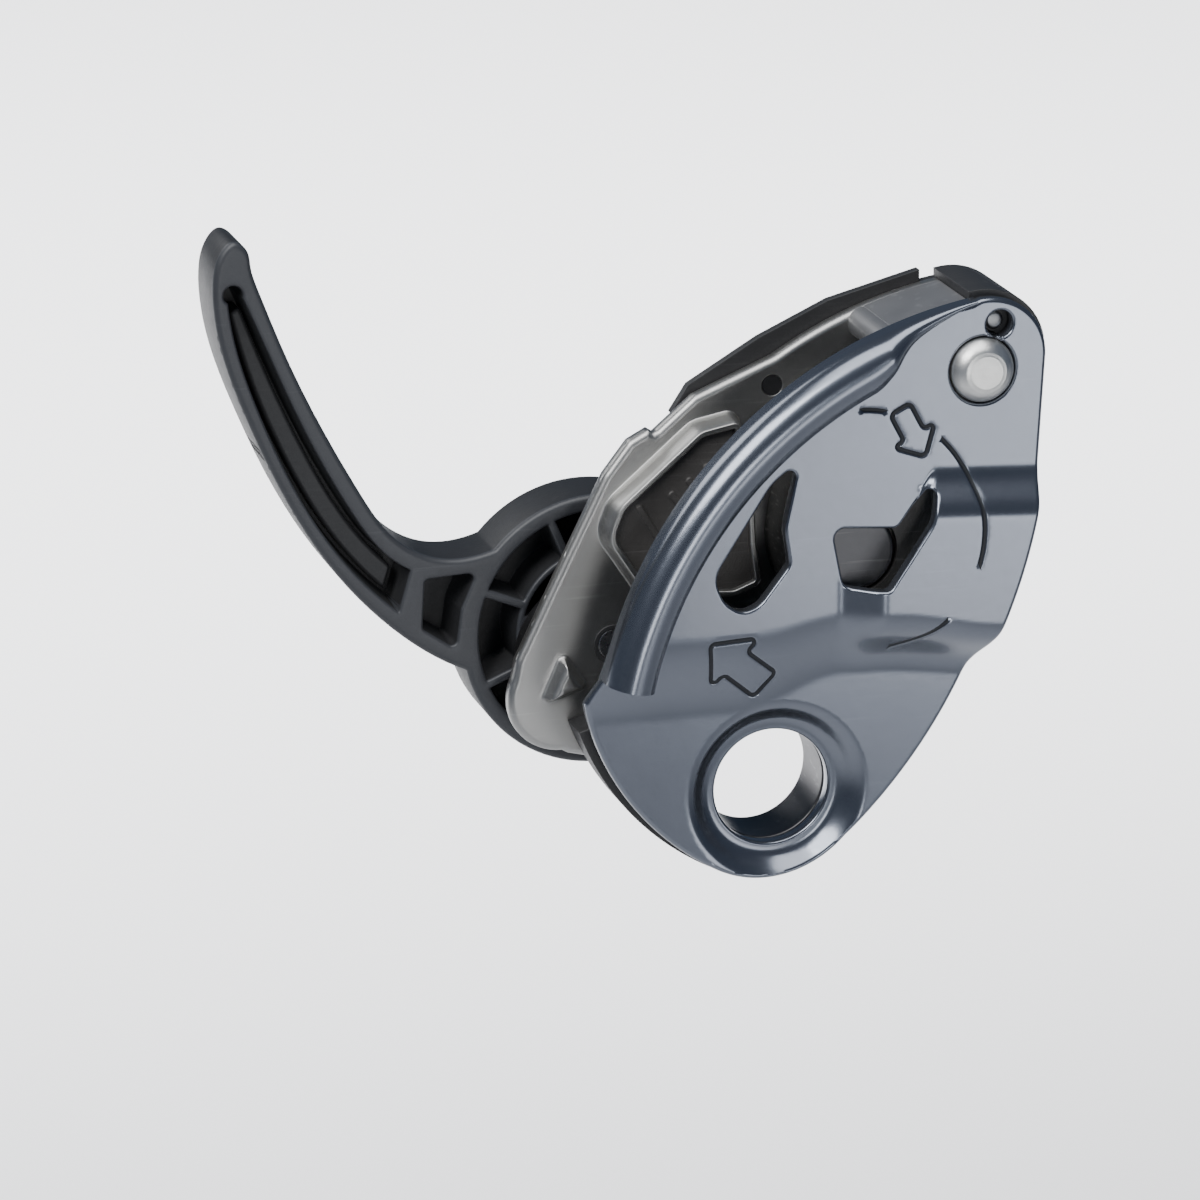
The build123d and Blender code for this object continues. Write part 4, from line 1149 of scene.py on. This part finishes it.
# -------------------------------------------------------------- rivets and pins
@dataclass
class Fastenings:
    """Rivet, pins, pivot, axle and the screws of the cover."""

    rivet: Point = (29.5, 62.7)
    pin: Point = (32.0, 69.4)

    def make_rivet(self) -> bpy.types.Object:
        """Rivet with a domed head and its turned rings."""
        low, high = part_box("side_plate_rivet")
        front, rear = low.y / MM, high.y / MM
        head, stem = 4.85, 4.0
        profile: list[Point] = [(0.0, front + 0.10), (0.35, front + 0.05), (0.6, front + 0.10), (1.3, front + 0.05), (1.7, front + 0.09),
                                (2.2, front + 0.02), (2.55, front + 0.02), (2.75, front + 0.12), (2.95, front + 0.10),
                                (3.2, front + 0.2), (3.6, front + 0.45), (4.1, front + 0.9), (4.5, front + 1.45),
                                (4.75, front + 2.0), (head, front + 2.6), (head, front + 3.05), (stem, front + 3.1),
                                (stem, rear - 1.4), (5.2, rear - 1.35), (5.2, rear - 0.7), (4.9, rear - 0.25), (4.2, rear), (0.0, rear)]
        return turned("Side_plate_rivet", profile, self.rivet, RIVET_STEEL, smooth=48.0)

    def build(self, nodes: dict[str, bpy.types.Object]) -> None:
        """Build every fastening.

        Args:
            nodes: The model's nodes.
        """
        settle(self.make_rivet(), "root", "rivet_steel", "side_plate_rivet")
        low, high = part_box("stop_pin")
        front, rear, r = low.y / MM, high.y / MM, 1.3
        pin = turned("Stop_pin", [(0, front), (0.9, front), (1.15, front + 0.1), (r, front + 0.35), (r, rear), (0, rear)],
                     self.pin, PIN_STEEL, count=40)
        settle(pin, "root", "stainless", "stop_pin")
        settle(dressed("Rivet_spacer", nodes["rivet_spacer"], 0.25, DARK_STEEL), "root", "dark_steel", "rivet_spacer")
        self._screws()
        for node, slot, finish, edge in (
                ("cam_axle", "stainless", DARK_STEEL, 0.3), ("cam_axle_clip", "spring_steel", SPRING_STEEL, 0.15),
                ("handle_pivot", "stainless", STAINLESS, 0.2), ("pivot_ring", "dark_steel", BLACK_MOULDING, 0.12),
                ("pivot_washer", "stainless", STAINLESS, 0.12), ("block_pin_left", "stainless", STAINLESS, 0.2),
                ("block_pin_right", "stainless", STAINLESS, 0.2)):
            settle(dressed(node.capitalize(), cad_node(node), edge, finish), "root", slot, node)

    def _screws(self) -> None:
        """Cover screws, each turned a little further than the last."""
        boxes = {name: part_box(name) for name in ("cover_screw_upper", "cover_screw_right", "cover_screw_lower")}
        low, high = boxes["cover_screw_upper"]
        head_r = (high.x - low.x) / 2 / MM
        rear, tip = high.y / MM, low.y / MM
        head = rear - 1.4
        profile = [(0.0, tip), (1.5, tip), (1.5, head), (head_r, head + 0.02), (head_r, head + 0.75),
                   (head_r - 0.2, head + 1.1), (head_r - 0.6, head + 1.35), (head_r - 1.1, rear), (1.32, rear)]
        screw = turned("screw_pattern", profile, (0.0, 0.0), DARK_STEEL, count=48)
        mesh = bmesh.new()
        mesh.from_mesh(screw.data)
        rim = [e for e in mesh.edges if e.is_boundary]
        corner = [polar((0.0, 0.0), 1.2, 60.0 * k) for k in range(6)]
        top = [mesh.verts.new((x * MM, rear * MM, z * MM)) for x, z in corner]
        deep = [mesh.verts.new((x * MM, (rear - 1.0) * MM, z * MM)) for x, z in corner]
        ring = sorted({v for e in rim for v in e.verts}, key=lambda v: math.atan2(v.co.z, v.co.x) % math.tau)
        for k in range(6):
            j = (k + 1) % 6
            mesh.faces.new((top[k], top[j], deep[j], deep[k]))
            arc = [ring[(8 * k + i) % 48] for i in range(9)]
            mesh.faces.new((*arc, top[j], top[k]))
        mesh.faces.new(deep)
        bmesh.ops.recalc_face_normals(mesh, faces=mesh.faces)
        screw.data = finish_mesh("screw_pattern", mesh, 40.0)
        screw.data.materials.append(DARK_STEEL.material())
        base = bpy.data.meshes.new("screw_places")
        centres = [(b[0] + b[1]) / 2 for b in boxes.values()]
        base.from_pydata([(c.x, 0.0, c.z) for c in centres], [], [])
        piece = NodeTool.run("Cover_screws", NodeTool.set_out(), base, {"Piece": screw, "Turn": 0.7}, DARK_STEEL)
        bpy.data.objects.remove(screw)
        settle(piece, "root", "dark_steel", *boxes)


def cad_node(name: str) -> bpy.types.Object:
    """Object of a model node."""
    return bpy.data.objects[name]


# ----------------------------------------------------------- cam and mechanism
@dataclass
class Mechanism:
    """Cam, shoe, bush, springs, drive arm and release hub."""

    cam: Point = (11.5, 36.0)
    handle: Point = (-21.6, 21.0)

    def build(self) -> None:
        """Build the moving pieces between the plates and behind them."""
        for node, body, slot, finish, edge in (
                ("cam_body", "cam", "cam_finish", CAM_STEEL, 0.5), ("cam_shoe", "cam", "stainless", STAINLESS, 0.15),
                ("cam_bush", "cam", "bronze", BRONZE, 0.1), ("drive_arm", "drive_arm", "dark_steel", DARK_STEEL, 0.3),
                ("drive_pin", "drive_arm", "stainless", STAINLESS, 0.2),
                ("release_hub", "release_hub", "dark_steel", DARK_STEEL, 0.3),
                ("hub_dog", "release_hub", "stainless", STAINLESS, 0.2)):
            settle(dressed(node.capitalize(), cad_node(node), edge, finish), body, slot, node)
        for node, body, place in (("cam_spring", "root", self.cam), ("handle_spring", "release_hub", self.handle)):
            self._spring(node, body, place)

    def _spring(self, node: str, body: str, place: Point) -> None:
        """Wind one spring inside its node's box."""
        low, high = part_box(node)
        wire = 0.45 * MM
        radius = (high.x - low.x) / 2 - wire
        length = (high.y - low.y) - 2 * wire
        base = bpy.data.meshes.new(node)
        values = {"Turns": max(1.5, length / (2.6 * wire)), "Radius": radius, "Length": length, "Wire": wire,
                  "Place": (place[0] * MM, high.y - wire, place[1] * MM)}
        piece = NodeTool.run(node.capitalize() + "_wire", NodeTool.coil(), base, values, SPRING_STEEL)
        settle(piece, body, "spring_steel", node)


@dataclass
class Housing:
    """Block, wear plate, cap, liner, bush and rear cover."""

    def build(self) -> None:
        """Dress the housing's pieces."""
        for node, slot, finish, edge in (
                ("friction_block", "grey_block", GREY_BLOCK, 0.8), ("friction_plate", "stainless", STAINLESS, 0.2),
                ("corner_cap", "black_moulding", BLACK_MOULDING, 0.6), ("lower_liner", "black_moulding", BLACK_MOULDING, 0.5),
                ("attachment_bush", "stainless", DARK_STEEL, 0.3), ("back_cover", "black_moulding", BLACK_MOULDING, 0.35)):
            settle(dressed(node.capitalize(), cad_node(node), edge, finish), "root", slot, node)


# ------------------------------------------------------------------------ stage
@dataclass
class Studio:
    """Pale floor, soft lights and the camera."""

    aim: tuple[float, float, float] = (-0.0225, 0.0089, 0.0267)
    azimuth: float = -16.0
    elevation: float = 16.9
    distance: float = 0.87
    lens: float = 177.6
    floor: float = -0.45

    def direction(self, azimuth: float, elevation: float) -> Vector:
        """Unit vector from the aim towards an azimuth and elevation in front."""
        a, e = math.radians(azimuth), math.radians(elevation)
        return Vector((math.sin(a) * math.cos(e), -math.cos(a) * math.cos(e), math.sin(e)))

    def card(self, name: str, azimuth: float, elevation: float, distance: float, size: tuple[float, float],
             power: float, colour: tuple[float, float, float] = (1.0, 1.0, 1.0)) -> None:
        """Soft light that faces the object.

        Args:
            name: Name of the light.
            azimuth: Where it stands, in degrees round from the front.
            elevation: Its height, in degrees.
            distance: How far it is.
            size: Its width and height.
            power: Its power in watts.
            colour: Its colour.
        """
        lamp = bpy.data.lights.new(name, "AREA")
        lamp.shape = "RECTANGLE"
        lamp.size, lamp.size_y = size
        lamp.energy = power
        lamp.color = colour
        holder = bpy.data.objects.new(name, lamp)
        away = self.direction(azimuth, elevation)
        holder.location = Vector(self.aim) + away * distance
        holder.rotation_euler = away.to_track_quat("Z", "Y").to_euler()
        bpy.context.scene.collection.objects.link(holder)

    def wash(self) -> None:
        """Broad light on the floor behind the object, turned away from it."""
        lamp = bpy.data.lights.new("Floor_wash", "AREA")
        lamp.shape = "RECTANGLE"
        lamp.size, lamp.size_y = 4.5, 3.6
        lamp.energy = 330.0
        holder = bpy.data.objects.new("Floor_wash", lamp)
        holder.location = (0.0, 2.5, 1.3)
        holder.rotation_euler = (math.radians(32.0), 0.0, 0.0)
        bpy.context.scene.collection.objects.link(holder)

    def build(self) -> None:
        """Build the floor, the world, the lights and the camera."""
        mesh = bmesh.new()
        bmesh.ops.create_grid(mesh, x_segments=1, y_segments=1, size=6.0)
        sheet = bpy.data.meshes.new("Floor")
        mesh.to_mesh(sheet)
        mesh.free()
        floor = bpy.data.objects.new("Floor", sheet)
        floor.location.z = self.floor
        bpy.context.scene.collection.objects.link(floor)
        pale = bpy.data.materials.new("Floor_pale")
        pale.use_nodes = True
        pale.node_tree.nodes["Principled BSDF"].inputs["Base Color"].default_value = (0.86, 0.86, 0.87, 1.0)
        pale.node_tree.nodes["Principled BSDF"].inputs["Roughness"].default_value = 0.9
        sheet.materials.append(pale)
        world = bpy.context.scene.world or bpy.data.worlds.new("World")
        bpy.context.scene.world = world
        world.use_nodes = True
        back = world.node_tree.nodes.get("Background") or world.node_tree.nodes.new("ShaderNodeBackground")
        back.inputs["Color"].default_value = (0.34, 0.5, 0.8, 1.0)
        back.inputs["Strength"].default_value = 0.16
        self.card("Key_upper_left", -52.0, 42.0, 1.0, (0.5, 0.5), 8.0)
        self.card("Strip_front", 0.0, -4.0, 1.0, (0.17, 0.36), 1.45)
        self.card("Card_front_right", 28.5, -8.8, 0.61, (0.25, 0.19), 0.52)
        self.card("Top_soft", -8.0, 74.0, 1.0, (0.8, 0.8), 9.0)
        self.card("Rear_left", -140.0, 35.0, 1.2, (0.6, 0.6), 4.0)
        self.wash()
        camera = bpy.data.cameras.new("Camera")
        camera.lens = self.lens
        camera.sensor_width = 36.0
        camera.clip_start = 0.05
        holder = bpy.data.objects.new("Camera", camera)
        away = self.direction(self.azimuth, self.elevation)
        holder.location = Vector(self.aim) + away * self.distance
        holder.rotation_euler = away.to_track_quat("Z", "Y").to_euler()
        bpy.context.scene.collection.objects.link(holder)
        bpy.context.scene.camera = holder


def corners(bounds: Iterable[Iterable[float]]) -> list[list[float]]:
    """Two corners as plain lists of numbers."""
    return [[float(v) for v in corner] for corner in bounds]


def main() -> None:
    """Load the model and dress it."""
    logging.basicConfig(level=logging.INFO, format="%(name)s: %(message)s")
    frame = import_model()
    nodes = frame["nodes"]
    Studio().build()
    SidePlate().build()
    FixedPlate().build(nodes)
    Handle().build(nodes)
    Housing().build()
    Mechanism().build()
    Fastenings().build(nodes)
    LOG.info("all pieces are built")


if __name__ == "__main__":
    main()
